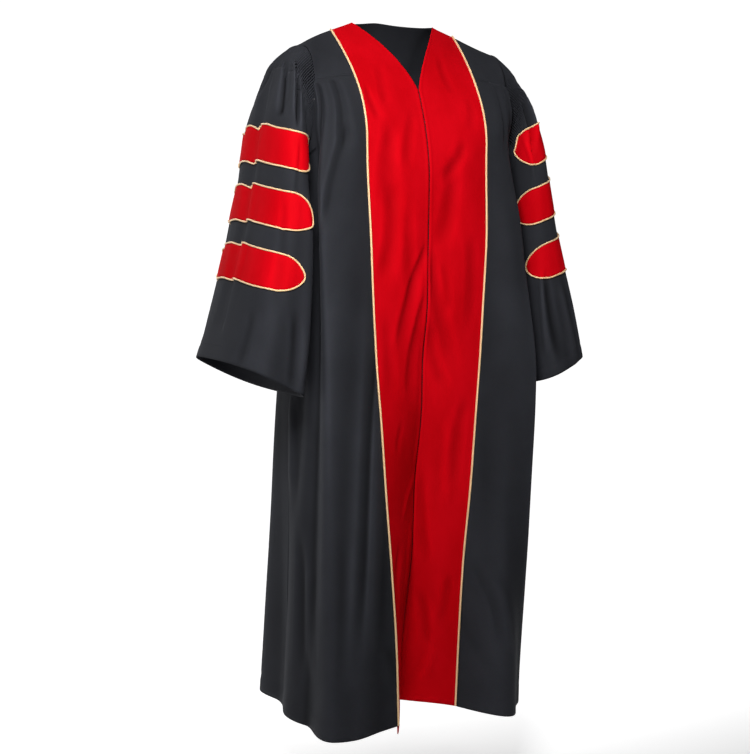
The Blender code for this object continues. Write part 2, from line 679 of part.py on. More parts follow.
def bar_half_height(place, to_front, to_back, margin=0.0):
    """Half height of a bar with bullet ends at this distance round the sleeve."""
    from_tip = np.minimum(to_front - place, place + to_back) + margin
    into_end = np.clip(1.0 - from_tip / (BAR_END + margin), 0.0, 1.0)
    rounded = (1.0 - into_end**BAR_TIP_ROUNDNESS) ** (1.0 / BAR_TIP_ROUNDNESS)
    return (BAR_HEIGHT / 2 + margin) * rounded


def bar(side, number, row):
    """Velvet bar laid on the sleeve, and the piping round its edge."""
    z, right_front, left_front, to_back, row_count, gap = row
    to_front = left_front if side > 0 else right_front
    to_back = to_back - BAR_TURN[side]
    run = bar_run(side, z, np.zeros(1), np.zeros(1))[0]
    angles, arc = sleeve_girth((), run)
    inner = bar_places(side, arc, angles, to_front - 2 * BAR_TIP_GAP, to_back - 2 * BAR_TIP_GAP)
    place = np.concatenate([[BAR_TIP_GAP - to_back], inner, [to_front - BAR_TIP_GAP]])
    half = bar_half_height(place, to_front - BAR_TIP_GAP, to_back - BAR_TIP_GAP) + 0.0004
    around = np.interp(place, arc, angles)
    across = np.linspace(1.0, -1.0, row_count)
    runs = np.array([bar_run(side, z + share * half, place, around) for share in across])
    rows = on_sleeve(side, around[None, :] + 0 * runs, runs, BAR_THICKNESS + gap) * (side, 1, 1)
    name = f"bar_{SIDE_NAMES[side]}_{number}"
    wall(name, rows if side < 0 else rows[:, ::-1], BAR_THICKNESS, "velvet")
    margin = BAR_PIPING_RADIUS + 2 * SEAM_GAP
    inner = bar_places(side, arc, angles, to_front - 0.002, to_back - 0.002)
    rise = bar_half_height(inner, to_front, to_back, margin)
    places = np.concatenate([[-to_back - margin], inner, [to_front + margin], inner[::-1]])
    rise = np.concatenate([[0.0], rise, [0.0], -rise[::-1]])
    edge = np.interp(places, arc, angles)
    lift = BAR_PIPING_RADIUS + gap
    path = on_sleeve(side, edge, bar_run(side, z + rise, places, edge), lift) * (side, 1, 1)
    tube(f"bar_piping_{SIDE_NAMES[side]}_{number}", path, BAR_PIPING_RADIUS, "piping", 0, closed=True)


def zip_fastener():
    """Closed zip behind the centre edges: its tape, and the slider at the top inside."""
    drops = drops_down(V_DEPTH + 0.004, V_DEPTH + ZIP_LENGTH, 16)
    middle = front_line("centre_x", drops)
    behind = (VELVET + 2 * SEAM_GAP) * 1.6
    centre = front_surface(1)(np.zeros(len(drops)), drops)
    across = np.linspace(-1.0, 1.0, 3) * ZIP_TAPE_WIDTH / 2
    rows = centre[:, None, :] + np.zeros((1, 3, 1))
    rows[:, :, 0] = middle[:, None] + across
    edge_share = np.abs(across)[None, :] / facing_edge(1, drops)[:, None]
    beside = front_surface(1)(edge_share, drops[:, None])
    rows[:, :, 1] = np.maximum(beside[:, :, 1], centre[:, 1:2]) + behind
    wall("zip_tape", rows, ZIP_TAPE_THICKNESS, "zip")
    top = rows[1, 1] + (0, ZIP_TAPE_THICKNESS + SEAM_GAP * 3 + SLIDER_SIZE[1] / 2, 0)
    ahead = rows[2, 1] - rows[0, 1]
    bpy.ops.mesh.primitive_cube_add(size=1.0, location=top)
    slider = bpy.context.active_object
    slider.name = slider.data.name = "zip_slider"
    slider.rotation_euler[0] = math.atan2(ahead[1], -ahead[2])
    slider.data.transform(Matrix.Diagonal((*SLIDER_SIZE, 1.0)))
    slider.data.materials.append(material("zip"))
    bevel = slider.modifiers.new("Rounded", "BEVEL")
    bevel.width = 0.0012
    bevel.segments = 2
    for holder in list(slider.users_collection):
        holder.objects.unlink(slider)
    gown.objects.link(slider)


SIDE_NAMES = {1: "left", -1: "right"}
SLEEVE_FOLDS = {1: LEFT_SLEEVE_FOLDS, -1: RIGHT_SLEEVE_FOLDS}

for old in list(bpy.data.objects):
    bpy.data.objects.remove(old)
gown = bpy.data.collections.new("graduation_gown")
bpy.context.scene.collection.children.link(gown)

back_yoke()
back_panel()
zip_fastener()
for side in (1, -1):
    facing(side)
    front_piping(side)
    front_yoke(side)
    front_panel(side)
    fluted_band(side)
    sleeve_tube(side)
    for number, row in enumerate(BARS, start=1):
        bar(side, number, row)
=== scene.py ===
"""Doctor's graduation gown, filled out as if it were worn, and hollow.

Black cloth on a yoke, two red velvet fronts edged with gold piping, and two bell sleeves that
are stitched down in fine flutes at the shoulder and carry three piped red bars each.
Metres, +Z up. The gown faces -Y and the wearer's left is at +X.
"""

import math

import bpy
import numpy as np
from mathutils import Matrix, Vector


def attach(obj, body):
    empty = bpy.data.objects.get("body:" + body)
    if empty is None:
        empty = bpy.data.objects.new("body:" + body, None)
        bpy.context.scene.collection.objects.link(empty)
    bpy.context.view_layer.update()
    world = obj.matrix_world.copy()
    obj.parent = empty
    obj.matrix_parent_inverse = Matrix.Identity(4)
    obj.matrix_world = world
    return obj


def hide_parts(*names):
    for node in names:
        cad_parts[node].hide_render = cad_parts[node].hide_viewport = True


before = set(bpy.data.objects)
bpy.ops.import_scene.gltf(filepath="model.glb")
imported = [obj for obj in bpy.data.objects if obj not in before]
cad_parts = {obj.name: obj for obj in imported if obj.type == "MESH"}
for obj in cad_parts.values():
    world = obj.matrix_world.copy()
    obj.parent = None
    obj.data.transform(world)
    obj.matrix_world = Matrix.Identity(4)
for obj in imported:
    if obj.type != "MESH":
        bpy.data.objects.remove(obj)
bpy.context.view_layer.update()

# Back yoke: one layer of black polyester, cut from armhole to armhole behind the shoulder line
# and hollowed for the neck. It carries the whole back, and is topstitched along its lower seam.

GOWN_LENGTH = 1.275
CLOTH = 0.0011
SEAM_GAP = 0.0003
NECK_HALF_WIDTH = 0.084
NECK_BACK_DEPTH = 0.068
NECK_BACK_RISE = 0.020
NECK_RISE_FADE = 0.14
SHOULDER_SLOPE = 0.37
CREST_SOFTNESS = 0.02
CREST_FADE = 0.34
SHOULDER_REACH = 0.21
CHEST_DROP = 0.30
ARM_DROP = 0.145
BACK_DROP = 0.15
RING_SQUARENESS = 3.4
SLEEVE_SQUARENESS = 2.7
YOKE_DROP_BACK = 0.125
EDGE_STITCHING = 0.0035

# The body's level sections, one row each, measured down from the neck point
SECTION_COLUMNS = ("drop", "half_width", "front", "back", "centre_x")
SECTIONS = (
    (0.00, 0.236, 0.147, 0.112, 0.000),
    (0.13, 0.230, 0.147, 0.116, 0.000),
    (0.24, 0.203, 0.149, 0.120, 0.000),
    (0.34, 0.198, 0.150, 0.124, 0.000),
    (0.50, 0.201, 0.150, 0.130, 0.000),
    (0.64, 0.208, 0.151, 0.136, 0.000),
    (0.78, 0.214, 0.157, 0.140, 0.000),
    (1.00, 0.221, 0.175, 0.147, -0.001),
    (1.275, 0.230, 0.200, 0.160, -0.008),
)

# How far the hem rises above the level of GOWN_LENGTH round the body; the rise fades out upwards
HEM = (
    (-180, 0.006),
    (-90, -0.004),
    (-45, -0.006),
    (-15, 0.009),
    (12, 0.006),
    (32, -0.015),
    (60, -0.008),
    (90, 0.002),
    (180, 0.006),
)
HEM_RISE_BEGINS = 0.5

# The sleeve's sections for the wearer's left: the point over the arm and the point under it, in
# X and Z, then the middle and the half depth in Y. "run" is the share of the sleeve's length.
SLEEVE_COLUMNS = ("run", "over_x", "over_z", "under_x", "under_z", "centre_y", "half_depth")
SLEEVE = (
    (0.00, 0.194, -0.048, 0.205, -0.262, 0.000, 0.086),
    (0.05, 0.223, -0.074, 0.213, -0.272, 0.003, 0.097),
    (0.12, 0.245, -0.115, 0.215, -0.298, -0.002, 0.113),
    (0.25, 0.270, -0.190, 0.217, -0.345, -0.006, 0.124),
    (0.42, 0.288, -0.290, 0.218, -0.405, -0.008, 0.130),
    (0.60, 0.306, -0.385, 0.221, -0.475, -0.008, 0.136),
    (0.80, 0.335, -0.500, 0.226, -0.585, -0.004, 0.146),
    (1.00, 0.365, -0.615, 0.236, -0.680, 0.004, 0.157),
)
ARMHOLE_TOP = SLEEVE[0][2]
ARMPIT_DROP = ARMHOLE_TOP - SLEEVE[0][4]


def column(table, columns, name):
    """One named column of a table, as an array."""
    return np.array([row[columns.index(name)] for row in table], float)


def ease(share):
    """0 to 1 with a level start and end: 3 s squared minus 2 s cubed."""
    share = np.clip(share, 0.0, 1.0)
    return share * share * (3.0 - 2.0 * share)


def bump(distance, width):
    """1 in the middle, 0 from twice the half width outwards, with no corner."""
    return ease(1.0 - np.abs(distance) / (2.0 * width))


def curve_through(places, values, at):
    """A cubic between each two values, with the slopes there that their neighbours give."""
    slopes = np.gradient(values, places)
    at = np.clip(at, places[0], places[-1])
    left = np.clip(np.searchsorted(places, at, side="right") - 1, 0, len(places) - 2)
    span = places[left + 1] - places[left]
    share = (at - places[left]) / span
    rise = ease(share)
    start = share * (1 - share) ** 2 * span * slopes[left]
    end = share**2 * (share - 1) * span * slopes[left + 1]
    return values[left] * (1 - rise) + values[left + 1] * rise + start + end


def section(name, drop):
    """One column of the level sections at this drop, on a smooth curve through its rows."""
    drops = column(SECTIONS, SECTION_COLUMNS, "drop")
    return curve_through(drops, column(SECTIONS, SECTION_COLUMNS, name), drop)


def hem_lift(turn):
    """The hem's rise at this turn round the body."""
    degrees = (np.degrees(turn) + 180.0) % 360.0 - 180.0
    return curve_through(*np.array(HEM, float).T, degrees)


def crest(x):
    """Height of the shoulder line over the neck point: it falls to both sides."""
    return SHOULDER_SLOPE * (NECK_HALF_WIDTH - np.hypot(x, CREST_SOFTNESS))


def roundness(x, drop, in_front):
    """Share of the full depth reached at this drop: 0 on the shoulder line, then rounded over
    by a quarter sine in front and a quarter circle behind."""
    share = np.clip(np.abs(x) / SHOULDER_REACH, 0.0, 1.0)
    front_reach = CHEST_DROP + (ARM_DROP - CHEST_DROP) * share**1.3
    front = np.sin(np.pi / 2 * np.clip(drop / front_reach, 0.0, 1.0) ** 0.92)
    back = np.sqrt(1.0 - (1.0 - np.clip(drop / BACK_DROP, 0.0, 1.0)) ** 2)
    return np.where(in_front, front, back)


def height_at(x, turn, drop):
    """Height of the body's surface: the shoulder line's own, which fades out down the chest,
    less the drop, and the hem's rise over the lower part."""
    rise = hem_lift(turn) * ease((drop - HEM_RISE_BEGINS) / (GOWN_LENGTH - HEM_RISE_BEGINS)) ** 1.5
    return crest(x) * (1.0 - ease(drop / CREST_FADE)) - drop + rise


def body(turn, drop, out=0.0):
    """Outer face of the worn body: superellipse rings with the folds' relief added to their
    radius, flattened towards the shoulder line and raised behind the neck."""
    sine, cosine = np.sin(turn), np.cos(turn)
    depth = np.where(cosine > 0, section("front", drop), section("back", drop))
    n = RING_SQUARENESS
    ring = np.abs(sine / section("half_width", drop)) ** n + np.abs(cosine / depth) ** n
    radius = ring ** (-1.0 / n) + out
    x = radius * sine
    y = -radius * cosine * roundness(x, drop, cosine > 0)
    stand = np.clip(1.0 - (x / NECK_HALF_WIDTH) ** 2, 0.0, 1.0)
    stand = stand * (1.0 - ease(drop / NECK_RISE_FADE))
    z = height_at(x, turn, drop) + np.where(cosine > 0, 0.0, NECK_BACK_RISE) * stand
    return np.stack([x + section("centre_x", drop), y + 0 * z, z], -1)


def depth_at(x, drop, in_front=True):
    """How far a ring reaches in front of its middle, or behind it, at this x."""
    share = np.clip(np.abs(x) / section("half_width", drop), 0.0, 0.9999)
    depth = section("front" if in_front else "back", drop)
    return depth * (1.0 - share**RING_SQUARENESS) ** (1.0 / RING_SQUARENESS)


def turn_at(x, drop, in_front=True):
    """The turn whose point on the section lies at this x, front or back."""
    depth = depth_at(x, drop, in_front)
    return np.arctan2(x, depth if in_front else -depth)


def armhole(z, in_front):
    """Points of the armhole seam on the +X side at the heights z: the sleeve's first section."""
    over_x, over_z, under_x, under_z, middle_y, half_depth = SLEEVE[0][1:]
    share = np.clip((z - (over_z + under_z) / 2) / ((over_z - under_z) / 2), -1.0, 1.0)
    power = 2.0 / SLEEVE_SQUARENESS
    angle = np.arccos(np.sign(share) * np.abs(share) ** (1 / power))
    x = (over_x + under_x) / 2 + share * (over_x - under_x) / 2
    y = middle_y + np.where(in_front, -1, 1) * half_depth * np.sin(angle) ** power
    height = (over_z + under_z) / 2 + share * (over_z - under_z) / 2
    return np.stack([x, y, height], -1)


def creases(table, across, down, metres_across, metres_down):
    """Relief of soft troughs and ridges. A row holds the start and the end of a line, each
    across and down, then in millimetres how far the line bows to one side, its half width at
    both ends and its height (+ is a ridge). A last value, where given, widens the side with the
    higher first coordinate that many times and narrows the other. Each is a bump across its
    line, and fades at both ends."""
    across, down = np.broadcast_arrays(across * metres_across, down * metres_down)
    total = np.zeros(across.shape)
    for a, b, a_end, b_end, *shape in table:
        bow, width_start, width_end, height = (value / 1000.0 for value in shape[:4])
        lean = shape[4] if len(shape) > 4 else 1.0
        a, a_end = a * metres_across, a_end * metres_across
        b, b_end = b * metres_down, b_end * metres_down
        length = math.hypot(a_end - a, b_end - b)
        ahead = (a_end - a) / length, (b_end - b) / length
        along = ((across - a) * ahead[0] + (down - b) * ahead[1]) / length
        aside = (across - a) * ahead[1] - (down - b) * ahead[0] - 4 * bow * along * (1 - along)
        width = width_start + (width_end - width_start) * np.clip(along, 0.0, 1.0)
        width = width * np.where(aside > 0, lean, 1 / lean)
        ends = ease((along + 0.12) / 0.34) * ease((1.12 - along) / 0.34)
        total += height * ends * bump(aside, width)
    return total


def slow_waves(across, down, height, key):
    """The cloth's own slow unevenness: five sine waves that cross, each with its own length,
    direction and start, in metres."""
    total = 0.0
    for number in range(1, 6):
        length = 0.05 + 0.028 * ((number * 2.7 + key * 1.3) % 4.1)
        heading = 0.35 * math.sin(number * 4.1 + key * 2.3)
        phase = (across + heading * down) / length + 0.37 * number * key
        total = total + np.sin(2 * np.pi * phase + 2.0 * np.sin(down / (0.11 + 0.05 * number)))
    return height * total / 5


def arc_lengths(rows):
    """Distance along a line of points, or down a grid by the mean of its columns."""
    steps = np.linalg.norm(np.diff(rows, axis=0), axis=-1)
    return np.concatenate([[0.0], np.cumsum(steps if steps.ndim == 1 else steps.mean(1))])


def grid_arcs(rows):
    """Distance in metres along each row from its middle, and down each column from its top."""
    across = np.linalg.norm(np.diff(rows, axis=1), axis=-1)
    across = np.concatenate([np.zeros((len(rows), 1)), np.cumsum(across, axis=1)], axis=1)
    across = across - across[:, [rows.shape[1] // 2]]
    return np.stack([across, arc_lengths(rows)[:, None] + 0 * across], -1)


def unit(vectors):
    """The same directions, each of length 1."""
    return vectors / np.maximum(np.linalg.norm(vectors, axis=-1, keepdims=True), 1e-12)


def cells(grid):
    """The four corners of every cell of a grid, in turn."""
    return np.stack([grid[:-1, :-1], grid[1:, :-1], grid[1:, 1:], grid[:-1, 1:]], 2)


def add_mesh(name, points, faces, finish):
    """A smooth mesh object from its points and faces, all in one finish."""
    mesh = bpy.data.meshes.new(name)
    mesh.from_pydata(points.reshape(-1, 3).tolist(), [], faces)
    mesh.shade_smooth()
    mesh.materials.append(finish)
    piece = bpy.data.objects.new(name, mesh)
    bpy.context.scene.collection.objects.link(piece)
    return piece


# Fold depth for the painted shade and highlight: how far to either side it is measured, and the
# depth that gives the full painted tone
HOLLOW_REACH = 0.015
PAINTED_SHADE_SPAN = 0.004


def hollow(rows, closed):
    """How far each point of a grid stands out of the mean of the points within reach of it to both
    sides, along its outward normal; less than nothing down in a fold. The materials paint shade
    into the folds and a highlight onto the ridges from it."""
    count = rows.shape[1]
    step = np.linalg.norm(np.diff(rows, axis=1), axis=2).mean()
    shifts = np.rint(np.linspace(-1.0, 1.0, 9) * HOLLOW_REACH / step).astype(int)
    places = np.arange(count) + shifts[:, None]
    places = places % count if closed else np.clip(places, 0, count - 1)
    normal = unit(np.cross(np.gradient(rows, axis=0), np.gradient(rows, axis=1)))
    return ((rows - rows[:, places].mean(axis=1)) * normal).sum(-1)


def cloth_piece(name, rows, thickness, finish, closed=False):
    """A sheet from the grid of its outer face, rows running down. Its UV map is in metres along
    the cloth, and Solidify gives it its thickness inwards."""
    index = np.arange(rows.shape[0] * rows.shape[1]).reshape(rows.shape[:2])
    whole = rows
    if closed:
        index = np.concatenate([index, index[:, :1]], axis=1)
        whole = np.concatenate([rows, rows[:, :1]], axis=1)
    piece = add_mesh(name, rows, cells(index).reshape(-1, 4).tolist(), finish)
    uv = piece.data.uv_layers.new(name="Cloth").data
    uv.foreach_set("uv", cells(grid_arcs(whole)).ravel())
    # Each point's fold depth, kept for the painted shade in the folds and the painted highlight on
    # the ridges
    depth = piece.data.attributes.new("painted_shade_depth", "FLOAT", "POINT").data
    depth.foreach_set("value", hollow(rows, closed).ravel())
    solidify = piece.modifiers.new("Thickness", "SOLIDIFY")
    solidify.thickness = thickness
    solidify.offset = -1.0
    solidify.use_quality_normals = True
    return piece


def placed(piece, slot_name, *nodes):
    """Fixes a piece to the gown, in place of its solids."""
    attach(piece, "root")
    if nodes:
        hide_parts(*nodes)
    return piece


def wire(node, *sources, **values):
    """Fills a node's sockets, the first ones in order and others by name, and sets its
    properties. A node or a socket is linked, and a plain number or colour is set."""
    filled = list(zip(node.inputs, sources))
    for key, value in values.items():
        if hasattr(node, key):
            setattr(node, key, value)
        else:
            filled.append((node.inputs[key.replace("_", " ")], value))
    for socket, value in filled:
        if isinstance(value, bpy.types.Node):
            value = value.outputs[0]
        if isinstance(value, bpy.types.NodeSocket):
            node.id_data.links.new(value, socket)
        else:
            socket.default_value = value
    return node


def new_material(name, colour, roughness):
    """A material, its shader and a function that adds a node to it."""
    made = bpy.data.materials.new(name)
    made.use_nodes = True
    tree = made.node_tree
    shader = wire(tree.nodes["Principled BSDF"], Base_Color=(*colour, 1.0), Roughness=roughness)

    def add(kind, *sources, **values):
        """A new node, its sockets filled."""
        return wire(tree.nodes.new("ShaderNode" + kind), *sources, **values)

    return made, shader, add


def sine_of(add, source, axis, pitch):
    """A sine wave along one axis of the UV map, one wave to a pitch in metres."""
    along = add("SeparateXYZ", source).outputs[axis]
    scaled = add("Math", along, 2 * math.pi / pitch, operation="MULTIPLY")
    return add("Math", scaled, operation="SINE")


def two_tones(add, share, *tones):
    """A ramp from one colour to another, each given with its place on it."""
    ramp = add("ValToRGB", share)
    for number, (place, colour) in enumerate(tones):
        ramp.color_ramp.elements[number].position = place
        ramp.color_ramp.elements[number].color = (*colour, 1.0)
    return ramp


def painted_fold_shade(add, colour, deep, proud):
    """Painted shade and highlight: a colour times a value that darkens it where the cloth lies
    deep in a fold and lightens it where the cloth stands proud of it, in place of the folds' own
    light and shade.
    """
    depth = add("Attribute", attribute_name="painted_shade_depth").outputs["Fac"]
    share = add("MapRange", depth, -PAINTED_SHADE_SPAN, PAINTED_SHADE_SPAN, deep, proud)
    return add("VectorMath", colour, operation="SCALE", Scale=share)


WEAVE_PITCH = 0.0006


def black_cloth():
    """Matt black polyester: a plain weave from two crossed sines, faint slubs along the warp,
    a slow change of tone where the cloth has been pressed, painted shade in its folds and a
    painted highlight on their ridges."""
    made, shader, add = new_material("black_cloth", (0.021, 0.022, 0.027), 0.85)
    warp, weft = (sine_of(add, add("UVMap", uv_map="Cloth"), i, WEAVE_PITCH) for i in (0, 1))
    weave = add("Math", warp, weft, operation="MULTIPLY")
    place = add("TexCoord").outputs["Object"]
    nap = add("TexNoise", Vector=place, Scale=420.0, Detail=3.0, Roughness=0.6)
    surface = add("Math", weave, 0.35, nap, operation="MULTIPLY_ADD")
    patches = add("TexNoise", Vector=place, Scale=9.0, Detail=4.0, Roughness=0.55)
    tones = (0.3, (0.0190, 0.0198, 0.0240)), (0.7, (0.0245, 0.0256, 0.0310))
    fibres = add("Mix", 0.35, data_type="RGBA", blend_type="MULTIPLY")
    made.node_tree.links.new(two_tones(add, patches, *tones).outputs[0], fibres.inputs[6])
    made.node_tree.links.new(nap.outputs["Color"], fibres.inputs[7])
    # Base colour: painted shade deep in the folds, down to 0.22 of it, and a painted highlight on
    # their ridges, up to 1.6 times
    wire(
        shader,
        Base_Color=painted_fold_shade(add, fibres.outputs[2], 0.22, 1.60),
        Normal=add("Bump", Height=surface, Strength=0.35, Distance=0.0002),
        Sheen_Weight=0.03,
        Sheen_Roughness=0.45,
        Sheen_Tint=(0.62, 0.66, 0.78, 1.0),
        Specular_IOR_Level=0.10,
    )
    return made


def stitches(name, path, outwards, length, thick, finish):
    """A row of stitches: flat six-sided lozenges laid end to end along a path, each half sunk
    into the cloth. The path has two points for each stitch, its start and its end."""
    start, end = path[0::2], path[1::2]
    out = outwards[0::2]
    ahead = unit(end - start)
    side = np.cross(ahead, out) * thick / 2
    middle, half = (start + end) / 2, ahead * length / 2
    corners = [
        middle - half,
        middle - half / 2 + side,
        middle + half / 2 + side,
        middle + half,
        middle + half / 2 - side,
        middle - half / 2 - side,
        middle + thick * 0.55 * out,
        middle - thick * 0.55 * out,
    ]
    ring = np.arange(6)
    after = (ring + 1) % 6
    top = np.stack([ring, after, 6 + 0 * ring], -1)
    under = np.stack([after, ring, 7 + 0 * ring], -1)
    faces = np.concatenate([top, under])[None] + 8 * np.arange(len(start))[:, None, None]
    return add_mesh(name, np.stack(corners, 1), faces.reshape(-1, 3).tolist(), finish)


STITCH_PITCH = 0.0032
STITCH_SPAN = 0.0025
STITCH_LENGTH = 0.0026
STITCH_THICKNESS = 0.0005


def topstitch(name, rows, line, finish, closed=False):
    """Machine stitching on a sheet, along the line that lies this far above its bottom row:
    stitches at an even pitch, their places and the cloth's normals taken between its points."""
    down = arc_lengths(rows)
    place = down[-1] - line
    j = np.clip(np.searchsorted(down, place) - 1, 0, len(down) - 2)
    share = (place - down[j]) / (down[j + 1] - down[j])
    path = rows[j] * (1 - share) + rows[j + 1] * share
    outwards = unit(np.cross(rows[j + 1] - rows[j], np.gradient(path, axis=0)))
    if closed:
        path = np.concatenate([path, path[:1]])
        outwards = np.concatenate([outwards, outwards[:1]])
    arcs = arc_lengths(path)
    starts = np.arange(STITCH_PITCH / 2, arcs[-1] - STITCH_PITCH, STITCH_PITCH)
    places = np.stack([starts, starts + STITCH_SPAN], 1).ravel()
    points, out = (
        np.stack([np.interp(places, arcs, line_of[:, i]) for i in range(3)], 1)
        for line_of in (path, outwards)
    )
    return placed(stitches(name, points, out, STITCH_LENGTH, STITCH_THICKNESS, finish), "cloth")


def between_armholes(rows, first, last, pull):
    """Rows eased so that their ends lie on the two armhole seams: pull falls from 1 at the first
    column to 0, and the last column has its mirror image."""
    pull = pull[None, :, None]
    rows = rows + (first - rows[:, 0])[:, None, :] * pull
    return rows + (last - rows[:, -1])[:, None, :] * pull[:, ::-1]


BACK_YOKE_CREASES = (
    (-0.095, 0.06, -0.035, 0.11, 4, 10, 14, -2.2),
    (0.1, 0.05, 0.045, 0.11, -5, 12, 10, -2),
    (-0.02, 0.085, 0.03, 0.092, 4, 8, 9, -1.2, 1.2),
    (-0.165, 0.05, -0.125, 0.1, 3, 9, 12, 1.6),
    (0.17, 0.04, 0.13, 0.1, -3, 10, 12, 1.8),
)

gown_black = black_cloth()
across = np.linspace(-1.0, 1.0, 141)
yoke_half = armhole(np.array([ARMHOLE_TOP - YOKE_DROP_BACK]), False)[0, 0]
x = across * yoke_half
neck = np.sqrt(np.clip(1.0 - (x / NECK_HALF_WIDTH) ** 2, 0.0, 1.0)) * NECK_BACK_DEPTH
neck_drop = BACK_DROP * (1.0 - np.sqrt(1.0 - (neck / section("back", 0.0)) ** 2))
down = np.linspace(0.0, 1.0, 36)[:, None] ** 1.3
drops = neck_drop + (YOKE_DROP_BACK - neck_drop) * down
out = creases(BACK_YOKE_CREASES, x[None, :], drops, 1.0, 1.0)
out += slow_waves(x[None, :], drops, 0.0006, 3) * np.sin(np.pi * down)
rows = body(turn_at(x[None, :] + 0 * drops, drops, False), drops, out)
edge = armhole(ARMHOLE_TOP - drops[:, 0], False)
pull = np.clip((-across - 0.4) / 0.6, 0.0, 1.0) ** 2
rows = between_armholes(rows, edge * (-1, 1, 1), edge, pull)[:, ::-1]
rows[:, :, 1] = np.maximum(rows[:, :, 1], 2 * SEAM_GAP)
back_yoke = cloth_piece("back_yoke_cloth", rows, CLOTH, gown_black)
placed(back_yoke, "cloth", "back_yoke")
yoke_stitching = topstitch("back_yoke_topstitch", rows, EDGE_STITCHING, gown_black)

# Front yokes: the small black pieces between the velvet and the armhole, sewn to the back yoke
# along the shoulder line, their lower seam pressed towards them and topstitched.

SHOULDER_START = 1e-6
PIPED_GAP = 0.0010
CENTRE_GAP = 0.0008
YOKE_DROP_FRONT = 0.092
YOKE_SEAM_RISE = 0.016
FRONT_BEGINS = 0.24
FRONT_FULL = 0.42
SIDE_NAMES = {1: "left", -1: "right"}

# The front's lines, one row each: how far the piped seam of each side lies from the middle of
# the gown and from its side-to-side plane, and where the centre edges meet between them
FRONT_COLUMNS = ("drop", "right_x", "right_y", "centre_x", "centre_y", "left_x", "left_y")
FRONT = (
    (0.00, 0.1275, -0.147, 0.000, -0.147, 0.1275, -0.147),
    (0.10, 0.1225, -0.147, 0.000, -0.147, 0.1225, -0.147),
    (0.24, 0.1220, -0.148, 0.000, -0.146, 0.1225, -0.148),
    (0.40, 0.1185, -0.149, 0.000, -0.145, 0.1195, -0.149),
    (0.54, 0.1115, -0.147, 0.000, -0.140, 0.1130, -0.147),
    (0.61, 0.1080, -0.148, 0.000, -0.126, 0.1090, -0.147),
    (0.72, 0.1035, -0.158, 0.000, -0.120, 0.1005, -0.147),
    (0.85, 0.1015, -0.173, -0.003, -0.100, 0.0885, -0.150),
    (1.00, 0.0985, -0.192, -0.010, -0.101, 0.0700, -0.156),
    (1.12, 0.0975, -0.207, -0.022, -0.094, 0.0595, -0.162),
    (1.275, 0.1000, -0.222, -0.038, -0.098, 0.0490, -0.168),
)


def front_line(name, drop):
    """One column of the front's lines at this drop, on a smooth curve through its rows."""
    drops = column(FRONT, FRONT_COLUMNS, "drop")
    return curve_through(drops, column(FRONT, FRONT_COLUMNS, name), drop)


def facing_edge(side, drop):
    """Distance of the piped seam from the middle of the gown."""
    return front_line(f"{SIDE_NAMES[side]}_x", drop)


def signed_body(side):
    """The body as seen from one side: the same function with +X towards that side."""
    return lambda turn, drop, out=0.0: body(side * turn, drop, out) * (side, 1, 1)


def mirrored(rows, side):
    """The same points on the wearer's own side, with the columns kept left to right."""
    return rows * (side, 1, 1) if side > 0 else (rows * (side, 1, 1))[:, ::-1]


def to_armhole(rows, edge, share, power=2.5):
    """Rows eased so that their last points lie on the armhole seam."""
    return rows + (edge - rows[:, -1])[:, None, :] * share[..., None] ** power


FRONT_YOKE_CREASES = {
    -1: (
        (0.15, 0.03, 0.172, 0.075, 3, 10, 9, -1.6),
        (0.14, 0.06, 0.165, 0.05, 2, 6, 8, 1),
    ),
    1: ((0.148, 0.03, 0.17, 0.08, -3, 9, 10, -1.5),),
}

for side in (1, -1):
    share = np.linspace(0.0, 1.0, 36)
    seam = YOKE_DROP_FRONT - YOKE_SEAM_RISE * share
    drops = SHOULDER_START + (seam - SHOULDER_START) * np.linspace(0, 1, 60)[:, None] ** 3
    edge = armhole(ARMHOLE_TOP - drops[:, -1], True)
    inner = facing_edge(side, drops[:, :1]) + PIPED_GAP / 2
    x = inner + (edge[:, :1] - inner) * share
    out = creases(FRONT_YOKE_CREASES[side], x, drops, 1.0, 1.0)
    out = out + 0.0012 * bump(seam - drops - 0.002, 0.0025)
    rows = signed_body(side)(turn_at(x, drops), drops, out)
    rows = mirrored(to_armhole(rows, edge, share), side)
    name = f"front_yoke_{SIDE_NAMES[side]}"
    piece = cloth_piece(f"{name}_cloth", rows, CLOTH, gown_black)
    placed(piece, "cloth", name)
    stitching = topstitch(f"{name}_topstitch", rows, EDGE_STITCHING, gown_black)

# Back panel: the full width of the cloth, gathered into small uneven pleats under the back yoke
# and falling from them in long folds to the turned-up hem.

